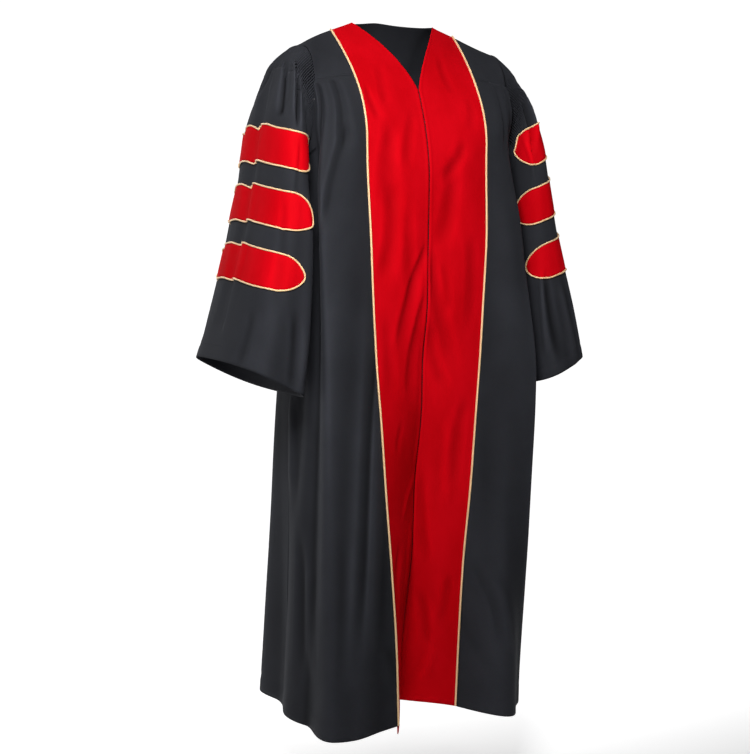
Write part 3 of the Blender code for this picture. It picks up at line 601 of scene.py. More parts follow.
# Long folds of the body: turn from the centre front in degrees (+ is the wearer's left) at the
# top and at the hem; where the fold begins, is full, fades and is gone; its height (+ is a
# ridge); its half width in degrees towards the right and the left, and how many times wider it
# is at the hem
FOLDS = (
    (-57, -44, 0.10, 0.32, 2.0, 3.0, 0.072, 4.5, 9, 2.2),
    (-34, -30, 0.50, 1.00, 2.0, 3.0, -0.010, 3, 4, 1.3),
    (-72, -74, 0.50, 1.20, 2.0, 3.0, 0.010, 8, 9, 1.3),
    (-98, -99, 0.70, 1.25, 2.0, 3.0, -0.014, 9, 9, 1.2),
    (-122, -120, 0.20, 1.15, 2.0, 3.0, 0.016, 8, 8, 1.4),
    (-142, -140, 0.14, 1.00, 2.0, 3.0, -0.022, 7, 7, 1.4),
    (-160, -161, 0.14, 1.10, 2.0, 3.0, 0.024, 7, 7, 1.4),
    (180, 178, 0.14, 1.00, 2.0, 3.0, -0.022, 7, 7, 1.5),
    (160, 157, 0.14, 1.10, 2.0, 3.0, 0.026, 7, 7, 1.4),
    (141, 138, 0.14, 1.00, 2.0, 3.0, -0.022, 7, 7, 1.4),
    (121, 119, 0.20, 1.15, 2.0, 3.0, 0.018, 8, 8, 1.4),
    (98, 99, 0.70, 1.25, 2.0, 3.0, -0.012, 9, 9, 1.2),
    (56, 47, 0.12, 0.68, 0.59, 1.46, 0.078, 9, 5, 1.8),
    (52, 47, 0.12, 0.28, 0.33, 0.50, 0.014, 8, 5, 1.2),
    (34, 28, 0.70, 1.20, 2.0, 3.0, 0.060, 7, 9, 1.2),
    (45, 42, 0.25, 0.60, 0.90, 1.27, -0.008, 5, 5, 1.2),
)
# Metres to a degree round the body, and the panels' edges
DEGREE = 0.0033
HEM_DEPTH = 0.03
TUCK = 0.003
TUCK_DEPTH = 0.0030
SEAM_HOLD = 0.012
ARMPIT_EASE = 0.12
ARMPIT_HOLD = 0.035
ARMPIT_SPREAD = 0.20
ARMPIT_POWER = 14.0

# The gathers under the yoke: place in degrees, drop where each ends, height and half width in mm
BACK_GATHERS = (
    (118, 0.23, 2.2, 4.5), (124, 0.34, 3.4, 5.5), (131, 0.26, 2.8, 4.5), (137, 0.44, 4.2, 6),
    (143, 0.25, 2.6, 4.5), (148, 0.37, 3.8, 5), (154, 0.3, 3, 4.5), (159, 0.52, 4.6, 6),
    (165, 0.28, 2.8, 4.2), (170, 0.4, 3.6, 5), (175, 0.31, 3.2, 4.5), (180, 0.48, 4, 5.5),
    (185, 0.27, 2.8, 4.2), (190, 0.36, 3.6, 5), (196, 0.55, 4.4, 6), (201, 0.29, 3, 4.5),
    (207, 0.42, 3.8, 5.5), (212, 0.25, 2.6, 4.5), (218, 0.38, 4, 5.5), (224, 0.31, 3, 5),
    (230, 0.45, 3.6, 5.5), (237, 0.24, 2.4, 4.5),
)
BACK_CREASES = (
    (150, 0.48, 146, 0.92, 10, 12, 20, -5, 1.2),
    (171, 0.6, 168, 1.18, -12, 14, 18, 4.5, 0.8),
    (190, 0.45, 193, 0.86, 8, 10, 18, -5, 1.3),
    (212, 0.62, 215, 1.22, -10, 14, 20, 5),
    (132, 0.8, 128, 1.25, 6, 12, 16, 4),
    (228, 0.7, 233, 1.15, 8, 12, 18, -4.5, 0.9),
    (112, 0.34, 130, 0.5, 4, 8, 14, -3),
    (248, 0.33, 232, 0.47, -4, 8, 14, -3.2),
    (180, 0.95, 182, 1.24, 4, 12, 18, -3.5),
)


def long_folds(turn, drop):
    """How far the long folds stand out of the body's section."""
    degrees = np.degrees(turn)
    share = drop / GOWN_LENGTH
    total = np.zeros(np.broadcast(turn, drop).shape)
    for turn_top, turn_hem, begins, full, fades, gone, height, right, left, widening in FOLDS:
        middle = turn_top + (turn_hem - turn_top) * share
        distance = (degrees - middle + 180.0) % 360.0 - 180.0
        width = np.where(distance < 0, right, left) * (1.0 + (widening - 1.0) * share)
        grown = ease((drop - begins) / (full - begins))
        grown = grown * (1 - ease((drop - fades) / (gone - fades)))
        total += height * grown * bump(distance, width)
    return total


def gathers(table, degrees, drop, top, degree=DEGREE):
    """Small pleats held in a seam: each is a ridge that is narrow and full at the seam and
    spreads and sinks until it ends. A degree is this many metres."""
    total = np.zeros(np.broadcast(degrees, drop).shape)
    for place, ends, height, width in table:
        share = np.clip((drop - top) / (ends - top), 0.0, 1.0)
        distance = (degrees - place + 180.0) % 360.0 - 180.0
        width = width / 1000.0 * (1.0 + 1.6 * share)
        total += height / 1000.0 * (1.0 - ease(share)) * bump(distance * degree, width)
    return total


def turned_hem(below, depth=HEM_DEPTH):
    """Relief of a turned-up hem at this distance above the edge: half a millimetre prouder over
    its depth, with a shallow trough along its stitching."""
    proud = 0.0005 * ease((depth - below) / 0.004)
    return proud - 0.0007 * bump(below - depth, 0.0022)


def tucked(below):
    """How far a piece's top edge lies in, where it is tucked behind the one above it."""
    return TUCK_DEPTH * (1.0 - ease((below - SEAM_GAP) / 0.0015))


def side_edge(drops, in_front):
    """The armhole seam down to the armpit, then the side seam, with the turn of each point."""
    edge = armhole(ARMHOLE_TOP - drops, in_front)
    turns = np.arctan2(edge[:, 0], -edge[:, 1])
    seam = math.pi / 2 + (-1 if in_front else 1) * SEAM_GAP * 3
    below = ARMHOLE_TOP - drops <= SLEEVE[0][4]
    return edge, np.where(below, seam, turns), below


def under_arm(own, edge, below, drops):
    """Where the rows of a panel end: on the armhole seam, and below the armpit on the panel's
    own surface, moved by what the armpit is away from it, less and less further down."""
    first = np.argmax(below)
    share = 1.0 - ease((drops - drops[first]) / ARMPIT_EASE)
    return np.where(below[:, None], own + (edge[first] - own[first]) * share[:, None], edge)


def spread(drops, width, share):
    """Turn of each column of a panel from its inner edge. Beside the armpit, where the panel
    widens at once, only the columns next to the side seam move out."""
    slow = np.minimum(width, np.interp(ARMPIT_DROP - ARMPIT_HOLD, drops, width))[:, None]
    power = ARMPIT_POWER - (ARMPIT_POWER - 1) * ease((drops - ARMPIT_DROP) / ARMPIT_SPREAD)
    return slow * share + (width[:, None] - slow) * share ** power[:, None]


def panel_drops(start, above, below):
    """Rows of a body panel: close together down the armhole, then even to the hem."""
    upper = ARMPIT_DROP - (ARMPIT_DROP - start) * (1.0 - np.linspace(0.0, 1.0, above)) ** 1.25
    return np.concatenate([upper, np.linspace(ARMPIT_DROP, GOWN_LENGTH, below)[1:]])


drops = panel_drops(YOKE_DROP_BACK - TUCK, 34, 107)
share = np.linspace(0.0, 1.0, 173)
edge, outer, below = side_edge(drops, False)
from_middle = 2.0 * share - 1.0
turn = math.pi + spread(drops, math.pi - outer, np.abs(from_middle)) * np.sign(from_middle)
degrees, drop = np.degrees(turn), drops[:, None]
out = gathers(BACK_GATHERS, degrees, drop, YOKE_DROP_BACK)
out += creases(BACK_CREASES, degrees, drop, DEGREE, 1.0)
out = out * ease((drop - YOKE_DROP_BACK) / SEAM_HOLD) - tucked(drop - YOKE_DROP_BACK)
out += long_folds(turn, drop)
out += slow_waves(degrees * DEGREE, drop, 0.0011, 1) * ease((drop - 0.14) / 0.1)
out += turned_hem(GOWN_LENGTH - drop)
rows = body(turn, drop, out)
left = under_arm(rows[:, 0], edge, below, drops)
right = under_arm(rows[:, -1], edge * (-1, 1, 1), below, drops)
rows = between_armholes(rows, left, right, np.clip(1.0 - 2.5 * share, 0.0, 1.0) ** 2)
back_panel = cloth_piece("back_panel_cloth", rows, CLOTH, gown_black)
placed(back_panel, "cloth", "back_panel")
back_hem = topstitch("back_hem_stitching", rows, HEM_DEPTH, gown_black)

# Velvet fronts: wide red facings from the neckline and the closed centre edge out to the piped
# seam, backed so that they hang smoothly, with soft hollows where the pile has been leant on.

VELVET = 0.0018
V_DEPTH = 0.143
FACING_BOW = 0.007
FACING_WIDTH = 0.12
ROLL_PLACE = 0.0035
ROLL_WIDTH = 0.0022
ROLL_HEIGHT = 0.0009
RELIEF_EDGE = 1.0 / 14.0

# Creases of each front: share of the width from the inner edge and drop, at both ends
FACING_CREASES = {
    -1: (
        (0.875, 0.12, 0.775, 0.182, 3, 5, 6, -2.6, 1.2),
        (0.62, 0.2, 0.64, 0.35, 6, 11, 16, -6),
        (0.6, 0.31, 0.82, 0.47, -6, 13, 12, -5.5, 0.9),
        (0.35, 0.33, 0.25, 0.53, 5, 9, 12, -3.2, 1.1),
        (0.02, 0.41, 0.54, 0.6, 8, 6, 13, -6, 0.8),
        (0.03, 0.5, 0.33, 0.69, 6, 6, 12, -4.2, 0.9),
        (0.01, 0.745, 0.06, 0.82, 0, 5, 6, 2.4),
        (0.06, 0.845, 0.47, 0.905, 4, 5, 7, 3, 0.7),
        (0.52, 0.735, 0.64, 0.785, 2, 5, 6, -1.8),
        (0.8, 0.54, 0.75, 0.68, -4, 10, 12, -3),
        (0.65, 0.96, 0.9, 1.09, 5, 8, 12, -3.6),
        (0.24, 1.05, 0.6, 1.19, -6, 9, 12, -3.8, 1.1),
        (0.45, 0.09, 0.64, 0.16, 4, 8, 7, -1.6),
        (0.18, 0.18, 0.38, 0.27, 4, 7, 9, -2.2),
        (0.12, 0.93, 0.33, 1.06, 4, 8, 10, 2.8),
    ),
    1: (
        (0.6, 0.228, 0.21, 0.292, 6, 7, 10, -4.2, 0.9),
        (0.4, 0.262, 0.18, 0.41, 7, 11, 14, -4.6),
        (0.02, 0.42, 0.48, 0.64, -7, 7, 14, -6, 1.1),
        (0.235, 0.445, 0.35, 0.535, 2, 6, 8, -2.6),
        (0.09, 0.555, 0.34, 0.675, -4, 7, 11, -4),
        (0.32, 0.07, 0.56, 0.132, -3, 8, 7, -1.8),
        (0.21, 1.07, 0.39, 1.165, 3, 8, 9, -3.4),
        (0.72, 1.03, 0.61, 1.125, 3, 8, 11, -3.4),
        (0.08, 0.84, 0.23, 1.01, -4, 8, 11, -3.6, 0.9),
        (0.7, 0.4, 0.76, 0.56, 5, 10, 12, -2.8),
        (0.76, 0.7, 0.66, 0.86, -5, 10, 13, -3.2),
        (0.45, 0.74, 0.52, 0.9, 4, 9, 11, 2.6),
        (0.82, 0.14, 0.72, 0.2, 3, 6, 8, -1.8),
        (0.5, 1.17, 0.3, 1.24, 3, 8, 9, 2.4),
    ),
}


def neckline(drop):
    """Half width of the V-neck at this drop, and of the centre gap below it."""
    share = np.clip(drop / V_DEPTH, 0.0, 1.0)
    return CENTRE_GAP + (NECK_HALF_WIDTH - CENTRE_GAP) * (1.0 - share) ** 1.2


def front_share(drop):
    """0 where the front still lies on the body's section, 1 where its own lines place it."""
    return ease((drop - FRONT_BEGINS) / (FRONT_FULL - FRONT_BEGINS))


def seam_point(side, drop, gap=0.0):
    """Points of the piped seam, on the +X side for both, a gap further out."""
    on_body = signed_body(side)(turn_at(facing_edge(side, drop) + gap, drop), drop)
    share = front_share(drop)
    y = on_body[..., 1] + share * (front_line(f"{SIDE_NAMES[side]}_y", drop) - on_body[..., 1])
    return np.stack([facing_edge(side, drop) + gap, y, on_body[..., 2]], -1)


def plain_front(x, drop):
    """The front of the body at this distance from its middle, without the long folds."""
    y = -depth_at(x, drop) * roundness(x, drop, True)
    return np.stack(np.broadcast_arrays(x, y, height_at(x, turn_at(x, drop), drop)), -1)


def velvet_front(side):
    """Outer face of a velvet front, on the +X side for both: across runs 0 to 1 from the inner
    edge to the piped seam, down the drop, and between the two it bows forward by a sine."""

    def surface(across, drop):
        """The front's own place at the top, eased into the straight line between its edges."""
        inner = side * front_line("centre_x", drop) + CENTRE_GAP
        inner = np.where(drop < V_DEPTH, neckline(drop), inner)
        outer = seam_point(side, drop, -PIPED_GAP / 2)
        x = inner + (outer[..., 0] - inner) * across
        on_body = plain_front(np.clip(x, 0.0, None), drop)
        centre_y = front_line("centre_y", drop)
        bow = FACING_BOW * np.sin(np.pi * np.clip(across, 0.0, 1.0)) * front_share(drop)
        lined = centre_y + (outer[..., 1] - centre_y) * across - bow
        y = on_body[..., 1] + front_share(drop) * (lined - on_body[..., 1])
        return np.stack([x, y, on_body[..., 2] + 0 * y], -1)

    return surface


def lifted(surface, a, b, height, step=1e-4):
    """Points of surface(a, b) moved out along its normal; the surface runs a across, b down."""
    across = surface(a + step, b) - surface(a - step, b)
    down = surface(a, b + step) - surface(a, b - step)
    return surface(a, b) + np.asarray(height)[..., None] * unit(np.cross(down, across))


def red_velvet():
    """Short-pile velvet: deep red, its pile a fine noise, with darker patches where it leans the
    other way, painted shade in its folds and a painted highlight on their ridges, and a red sheen
    towards their edges."""
    made, shader, add = new_material("red_velvet", (0.66, 0.002, 0.008), 0.62)
    place = add("TexCoord").outputs["Object"]
    stretch = add("Mapping", place, Scale=(1.0, 1.0, 0.45))
    leaning = add("TexNoise", Vector=stretch, Scale=16.0, Detail=5.0, Roughness=0.62)
    tones = (0.34, (0.45, 0.0008, 0.0040)), (0.62, (0.52, 0.0013, 0.0058))
    pile = add("TexNoise", Vector=place, Scale=1400.0, Detail=2.0)
    both = add("Math", leaning, 0.9, pile, operation="MULTIPLY_ADD")
    # Base colour: painted shade deep in the folds, down to 0.62 of it, and a painted highlight on
    # their ridges, up to 1.2 times
    wire(
        shader,
        Base_Color=painted_fold_shade(add, two_tones(add, leaning, *tones), 0.62, 1.2),
        Normal=add("Bump", Height=both, Strength=0.4, Distance=0.0004),
        Sheen_Weight=0.12,
        Sheen_Roughness=0.4,
        Sheen_Tint=(1.0, 0.01, 0.02, 1.0),
        Specular_IOR_Level=0.01,
    )
    return made


velvet = red_velvet()
facings = {}
for side in (1, -1):
    upper = SHOULDER_START + (V_DEPTH - SHOULDER_START) * np.linspace(0, 1, 40) ** 1.5
    drops = np.concatenate([upper, np.linspace(V_DEPTH, GOWN_LENGTH, 171)[1:]])[:, None]
    share = np.linspace(0.0, 1.0, 56)[None, :]
    share = share - 0.03 * np.sin(2 * np.pi * share)
    out = creases(FACING_CREASES[side], share, drops, FACING_WIDTH, 1.0)
    out += slow_waves(share * FACING_WIDTH, drops, 0.0008, 2 + side) * np.sin(np.pi * share)
    out += turned_hem(GOWN_LENGTH - drops)
    inwards = np.clip(share / RELIEF_EDGE, 0, 1) * np.clip((1 - share) / RELIEF_EDGE, 0, 1)
    out = out * inwards + ROLL_HEIGHT * bump(share * FACING_WIDTH - ROLL_PLACE, ROLL_WIDTH)
    rows = mirrored(lifted(velvet_front(side), share, drops, out), side)
    name = f"facing_{SIDE_NAMES[side]}"
    facings[side] = cloth_piece(f"{name}_velvet", rows, VELVET, velvet)
    placed(facings[side], "velvet", name)

# Front panels: black cloth from the front yoke seam to the hem, sewn to the velvet along the
# piping. Two pleats are held in the yoke seam, and long folds stand beside the sleeves.

FRONT_CREASES = {
    -1: (
        (-53, 0.066, -49.8, 0.23, -2, 4.5, 5, -9, 2.2),
        (-50, 0.19, -53.6, 0.37, 2, 5, 6.5, -9, 2.2),
        (-56.6, 0.08, -55, 0.26, -4, 8, 11, 5),
        (-61, 0.066, -62.5, 0.24, 2, 4, 5, -7, 2),
        (-48.6, 0.085, -46, 0.26, 2, 8, 11, 3.4),
        (-40.5, 0.4, -43, 0.54, -3, 8, 9, -3, 0.8),
        (-37.5, 0.3, -39.5, 0.43, 2, 7, 8, 2.2),
        (-43.5, 0.5, -45.8, 1.18, -4, 11, 15, -11),
        (-34.2, 0.54, -34.6, 1.14, 2, 5.5, 7, 8.5, 0.8),
        (-37.6, 0.57, -38, 1.12, 1, 4, 5, -7, 0.8),
        (-41, 0.93, -39.8, 1.2, 2, 8, 10, 4.5),
        (-73, 0.94, -68, 1.18, 3, 8, 12, -5.5),
        (-65, 0.98, -61, 1.17, -3, 8, 11, 4.5),
        (-89, 0.69, -86, 0.86, 3, 9, 13, 5),
        (-78, 0.56, -80, 0.9, 4, 11, 14, -5),
        (-28, 1.13, -24.5, 1.2, 2, 5, 6, -2.6),
        (-52, 1.06, -55, 1.25, 3, 10, 14, -3.5),
    ),
    1: (
        (43, 0.3, 44.5, 0.6, 4, 8, 10, 3.6),
        (39, 0.46, 37.4, 0.66, 3, 7, 9, -3.6),
        (28.5, 0.78, 23.5, 0.95, 3, 8, 10, 3.6),
        (38, 0.7, 27, 1.05, 8, 8, 11, -5, 1.1),
        (27.2, 1, 29.2, 1.13, 2, 3, 3.5, -2.6, 1.5),
        (22, 1.04, 26.5, 1.2, -4, 3.5, 4.5, -2.4, 1.3),
        (30.5, 1.02, 32.5, 1.16, 2, 6, 8, 2.8),
        (51.5, 0.08, 50, 0.23, 3, 3, 4.5, -3.2, 1.4),
        (57.5, 0.08, 58, 0.19, 2, 3, 4, -2.4),
        (47.5, 0.085, 46, 0.22, 3, 8, 10, 2.6),
        (74, 0.5, 76, 0.9, 5, 11, 15, -5),
        (84, 0.64, 82, 1.1, -4, 12, 16, 4.8),
    ),
}
ARM_SIDE_BEGINS = 0.65
SEAM_SIDE_ENDS = 0.9
SEAM_RISE_FADE = 0.09


def to_seam(rows, start, share):
    """Rows eased so that their first points lie on the piped seam."""
    return rows + (start - rows[:, 0])[:, None, :] * (1.0 - share[..., None]) ** 3


def front_panel_rows(side, drops, share):
    """Outer face of a cloth front, on the +X side for both, from the piped seam outwards."""
    rise = YOKE_SEAM_RISE * (1.0 - ease((drops - YOKE_DROP_FRONT) / SEAM_RISE_FADE))
    edge, outer, below = side_edge(drops - rise, True)
    seam = seam_point(side, drops, PIPED_GAP / 2)
    middle = section("centre_x", drops) * side
    inner = np.arctan2(seam[:, 0] - middle, -seam[:, 1] / roundness(seam[:, 0], drops, True))
    whole = np.append(share, 1.0)
    turn = inner[:, None] + spread(drops, outer - inner, whole)
    drop = drops[:, None] - rise[:, None] * whole
    below_seam = drop - YOKE_DROP_FRONT + YOKE_SEAM_RISE * whole
    own = np.degrees(side * turn)
    out = creases(FRONT_CREASES[side], own, drop, DEGREE, 1.0)
    out += slow_waves(own * DEGREE, drop, 0.0009, 4 + side) * ease((drop - 0.1) / 0.1)
    out = out * ease(below_seam / SEAM_HOLD) - tucked(below_seam)
    out = long_folds(side * turn, drop) + out + turned_hem(GOWN_LENGTH - drop)
    from_seam = np.clip((turn - inner[:, None]) / SEAM_SIDE_ENDS, 0.0, 1.0)
    near_arm = np.clip((whole - ARM_SIDE_BEGINS) / (1.0 - ARM_SIDE_BEGINS), 0.0, 1.0)
    rows = to_seam(signed_body(side)(turn, drop, out), seam, from_seam)
    edge = under_arm(rows[:, -1], edge, below, drops)
    return to_armhole(rows, edge, near_arm, 2.0)[:, :-1]


for side in (1, -1):
    drops = panel_drops(YOKE_DROP_FRONT - TUCK, 46, 120)
    rows = mirrored(front_panel_rows(side, drops, np.linspace(0.0, 1.0, 140) ** 0.92), side)
    name = f"front_panel_{SIDE_NAMES[side]}"
    piece = cloth_piece(f"{name}_cloth", rows, CLOTH, gown_black)
    placed(piece, "cloth", name)
    hem = topstitch(f"{name}_hem_stitching", rows, HEM_DEPTH, gown_black)

# Front piping: gold braid over a cord, its flange caught in the seam between velvet and cloth,
# from the shoulder line to the hem.

PIPING_RADIUS = 0.0019
STRAND_PITCH = 0.0012
TURNED_ROUND = [0, 3, 2, 1]


def cord_of_braid(name, path, radius, finish, sides, closed=False):
    """A round cord along a path: rings of points about it, carried along without twisting. Its
    UV map runs round the cord and along it, in metres."""
    ahead = np.roll(path, -1, axis=0) - np.roll(path, 1, axis=0)
    if not closed:
        ahead = np.gradient(path, axis=0)
    ahead = unit(ahead)
    side = unit(np.cross(ahead, np.array([0.93, 0.35, 0.11])))
    over = np.cross(side, ahead)
    angle = np.linspace(0.0, 2 * np.pi, sides, endpoint=False)[None, :, None]
    around = np.cos(angle) * side[:, None] + np.sin(angle) * over[:, None]
    rings = path[:, None] + radius * around
    index = np.arange(len(path) * sides).reshape(len(path), sides)
    index = np.concatenate([index, index[:, :1]], axis=1)
    arcs = arc_lengths(path)
    if closed:
        index = np.concatenate([index, index[:1]])
        arcs = np.append(arcs, arcs[-1] + np.linalg.norm(path[0] - path[-1]))
    faces = cells(index)[:, :, TURNED_ROUND].reshape(-1, 4).tolist()
    round_it = np.linspace(0.0, 2 * np.pi * radius, sides + 1)
    flat = np.stack(np.broadcast_arrays(round_it[None, :], arcs[:, None]), -1)
    uv = cells(flat)[:, :, TURNED_ROUND].reshape(-1, 2)
    if not closed:
        faces += [index[0, :sides][::-1].tolist(), index[-1, :sides].tolist()]
        uv = np.concatenate([uv, np.zeros((2 * sides, 2))])
    cord = add_mesh(name, rings, faces, finish)
    cord.data.uv_layers.new(name="Braid").data.foreach_set("uv", uv.ravel())
    return cord


def gold_braid():
    """Braid of pale gold thread: slanting strands from a sine of the sum of both UV directions,
    darker between them."""
    made, shader, add = new_material("gold_braid", (0.93, 0.62, 0.30), 0.42)
    parts = add("SeparateXYZ", add("UVMap", uv_map="Braid"))
    slant = add("Math", parts.outputs[0], parts.outputs[1], operation="ADD")
    scaled = add("Math", slant, 2 * math.pi / STRAND_PITCH, operation="MULTIPLY")
    strand = add("Math", scaled, operation="SINE")
    shade = two_tones(add, strand, (0.0, (0.80, 0.46, 0.19)), (0.55, (1.0, 0.74, 0.44)))
    relief = add("Bump", Height=strand, Strength=0.5, Distance=0.0002)
    wire(shader, Base_Color=shade, Normal=relief, Metallic=0.15, Sheen_Weight=0.2)
    return made


gold = gold_braid()
for side in (1, -1):
    drops = np.linspace(SHOULDER_START, GOWN_LENGTH - 0.001, 620)
    seam = seam_point(side, drops)
    before = velvet_front(side)(0.92, drops)
    beyond = front_panel_rows(side, drops, np.array([0.0, 0.06]))[:, 1]
    normal = unit(np.cross(np.gradient(seam, axis=0), beyond - before))
    soft = np.exp(-(np.linspace(-2.5, 2.5, 41) ** 2))
    padded = np.pad(normal, ((20, 20), (0, 0)), mode="edge")
    normal = np.stack([np.convolve(padded[:, i], soft / soft.sum(), "valid") for i in range(3)], 1)
    normal = unit(normal)
    path = (seam + normal * PIPING_RADIUS * 0.75) * (side, 1, 1)
    name = f"front_piping_{SIDE_NAMES[side]}"
    cord = cord_of_braid(f"{name}_braid", path, PIPING_RADIUS, gold, 10)
    placed(cord, "piping", name)

# Sleeve heads: the top 30 mm of each sleeve, drawn up into fine upright flutes and stitched down
# round the armhole from the front yoke seam over the shoulder to the back yoke seam. They lie on
# the sleeve's own surface, and their flutes open into its folds below the stitching.

FLUTE_COLUMNS = 840
FLUTES_TURN = 118
HEAD_CLOTH = CLOTH * 0.7
HEAD_STITCHING = 0.029
FLUTE_PITCH = 0.0052
FLUTE_DEPTH = 0.0034
FLUTED_BAND = 0.05
FLUTES_END = 0.085
SLEEVE_DEGREE = 0.0020
SLEEVE_LENGTH = 0.60
CUFF_HEM = 0.024

# Folds down each sleeve, as on its solid: angle round it at the band and at the cuff, where it
# begins, is full and ends, its half width in degrees and its height
SLEEVE_FOLDS = {
    -1: (
        (10, 6, 0.03, 0.09, 0.50, 14, 0.004),
        (5, -2, 0.05, 0.15, 0.95, 5, -0.002),
        (-14, -24, 0.05, 0.15, 0.70, 10, 0.003),
        (128, 124, 0.10, 0.45, 3.00, 26, 0.018),
        (-45, -50, 0.04, 0.12, 0.60, 12, -0.010),
        (-75, -78, 0.05, 0.14, 0.60, 10, 0.006),
        (62, 66, 0.55, 0.85, 1.30, 18, 0.005),
        (100, 96, 0.60, 0.90, 1.30, 12, -0.006),
    ),
    1: (
        (46, 42, 0.03, 0.09, 0.22, 10, -0.008),
        (66, 60, 0.03, 0.09, 0.22, 9, 0.004),
        (22, 24, 0.05, 0.14, 0.75, 9, 0.005),
        (2, 4, 0.05, 0.15, 0.55, 7, -0.005),
        (-20, -22, 0.05, 0.15, 0.60, 10, 0.005),
        (-48, -50, 0.04, 0.12, 0.60, 12, -0.010),
        (-76, -78, 0.05, 0.14, 0.60, 10, 0.006),
        (46, 40, 0.55, 0.85, 1.30, 7, -0.006),
        (66, 60, 0.55, 0.85, 1.30, 8, 0.006),
    ),
}

# Creases of each sleeve: angle and run at both ends
SLEEVE_CREASES = {
    -1: (
        (-3, 0.06, 2, 0.26, 1, 3.5, 4, -4, 0.32),
        (2, 0.2, 0.9, 0.78, 0, 4, 4.5, -4.2, 0.3),
        (0.6, 0.7, 1.8, 0.9, 0, 4, 5, -3, 0.35),
        (5.5, 0.24, 5, 0.82, 0, 6.5, 8, 1.8),
        (10, 0.035, 34, 0.205, 3, 6.5, 16, -20, 0.9),
        (27, 0.035, 54, 0.175, 3, 6, 10, 12),
        (46, 0.035, 72, 0.175, 3, 5, 10, -12),
        (-8, 0.045, -14, 0.18, 2, 4, 5, -4.5),
        (-1, 0.046, -2, 0.08, 0, 5, 6, -5),
        (84, 0.21, 83.5, 0.4, 2, 7, 8, -2.4),
        (42, 0.83, 37, 1, 2, 9, 12, -3),
        (97, 0.76, 106, 1, 4, 10, 12, -5),
        (-20, 0.055, -12, 0.2, 3, 5, 9, 5),
        (-34, 0.055, -40, 0.23, -3, 5, 11, -6),
        (-52, 0.055, -60, 0.26, -3, 6, 12, 6.5),
        (-72, 0.055, -84, 0.2, -3, 5, 10, -6),
        (-46, 0.5, -42, 0.94, 5, 10, 16, -5),
        (-62, 0.42, -66, 0.96, 4, 11, 16, 5.5),
        (-98, 0.3, -102, 0.9, 5, 11, 15, -5),
        (62, 0.44, 70, 0.78, 5, 12, 16, -3),
    ),
    1: (
        (70, 0.055, 90, 0.17, 3, 5, 9, -7.5),
        (56, 0.055, 74, 0.19, 3, 6, 10, 7),
        (34, 0.055, 50, 0.22, 3, 6, 11, -7),
        (16, 0.055, 26, 0.23, 3, 6, 11, 5),
        (96, 0.08, 100, 0.23, 2, 5, 7, 3.4),
        (112, 0.64, 114, 0.9, 3, 6, 9, 5, 0.7),
        (102, 0.65, 95, 0.96, 4, 8, 11, -6),
        (84, 0.72, 80, 1, -3, 8, 11, 4.5),
        (-6, 0.055, -2, 0.21, 2, 5, 9, -4.5),
        (-26, 0.055, -30, 0.24, -3, 5, 11, 5.5),
        (-44, 0.055, -52, 0.23, -3, 6, 11, -6.5),
        (-66, 0.055, -76, 0.22, -3, 5, 10, 6),
        (8, 0.26, 4, 0.82, 4, 5, 7, -4, 0.7),
        (-32, 0.46, -28, 0.93, 5, 10, 16, -5),
        (-64, 0.38, -68, 0.95, 4, 11, 16, 5.5),
        (-98, 0.32, -103, 0.88, 5, 11, 15, -5),
    ),
}

# Small folds that carry on from the flutes: angle, run where each ends, height and half
# width in mm
SLEEVE_GATHERS = (
    (-84, 0.12, 1.6, 3), (-79, 0.16, 2.2, 3.4), (-70, 0.13, 1.8, 3), (-64, 0.19, 2.6, 3.6),
    (-57, 0.12, 1.8, 3), (-49, 0.15, 2.2, 3.4), (-41, 0.12, 1.8, 3), (-31, 0.18, 2.4, 3.6),
    (-24, 0.13, 1.8, 3), (-13, 0.15, 2.2, 3.4), (-5, 0.12, 1.6, 3), (6, 0.17, 2.4, 3.6),
    (13, 0.12, 1.8, 3), (24, 0.14, 2, 3.4), (31, 0.12, 1.8, 3), (43, 0.16, 2.4, 3.6),
    (50, 0.12, 1.6, 3), (58, 0.13, 2, 3.2), (69, 0.15, 2.4, 3.4), (77, 0.12, 1.8, 3),
    (85, 0.14, 2.2, 3.2), (93, 0.11, 1.6, 3),
)


def sleeve(folds, angle, run, out=0.0):
    """Outer face of the sleeve on the +X side: superellipse sections strung on two lines, over
    and under the arm, with the folds and a further relief added outwards."""
    runs = column(SLEEVE, SLEEVE_COLUMNS, "run")
    over_x, over_z, under_x, under_z, middle_y, half_depth = (
        curve_through(runs, column(SLEEVE, SLEEVE_COLUMNS, name), run)
        for name in SLEEVE_COLUMNS[1:]
    )
    half_rise = np.hypot(over_x - under_x, over_z - under_z) / 2
    up_x, up_z = (over_x - under_x) / 2 / half_rise, (over_z - under_z) / 2 / half_rise
    degrees = np.degrees(angle)
    out = np.zeros(np.broadcast(angle, run).shape) + out
    for top, cuff, begins, full, ends, width, height in folds:
        distance = (degrees - (top + (cuff - top) * run) + 180.0) % 360.0 - 180.0
        grown = ease((run - begins) / (full - begins)) * (1 - ease((run - full) / (ends - full)))
        out += height * grown * bump(distance, width)
    out = out * ease((run - FLUTED_BAND + 0.004) / 0.03)
    power = 2.0 / SLEEVE_SQUARENESS
    cosine, sine = np.cos(angle), np.sin(angle)
    rise = np.sign(cosine) * np.abs(cosine) ** power * half_rise + out * cosine
    front = np.sign(sine) * np.abs(sine) ** power * half_depth + out * sine
    x = (over_x + under_x) / 2 + rise * up_x
    z = (over_z + under_z) / 2 + rise * up_z
    return np.stack([x, middle_y - front, z], -1)


def sleeve_girth(run):
    """Arc length round the sleeve from the point over the arm, for angles -180 to 180 degrees."""
    angles = np.radians(np.linspace(-180.0, 180.0, 721))
    arc = arc_lengths(sleeve((), angles, np.full(721, run)))
    return angles, arc - np.interp(0.0, angles, arc)


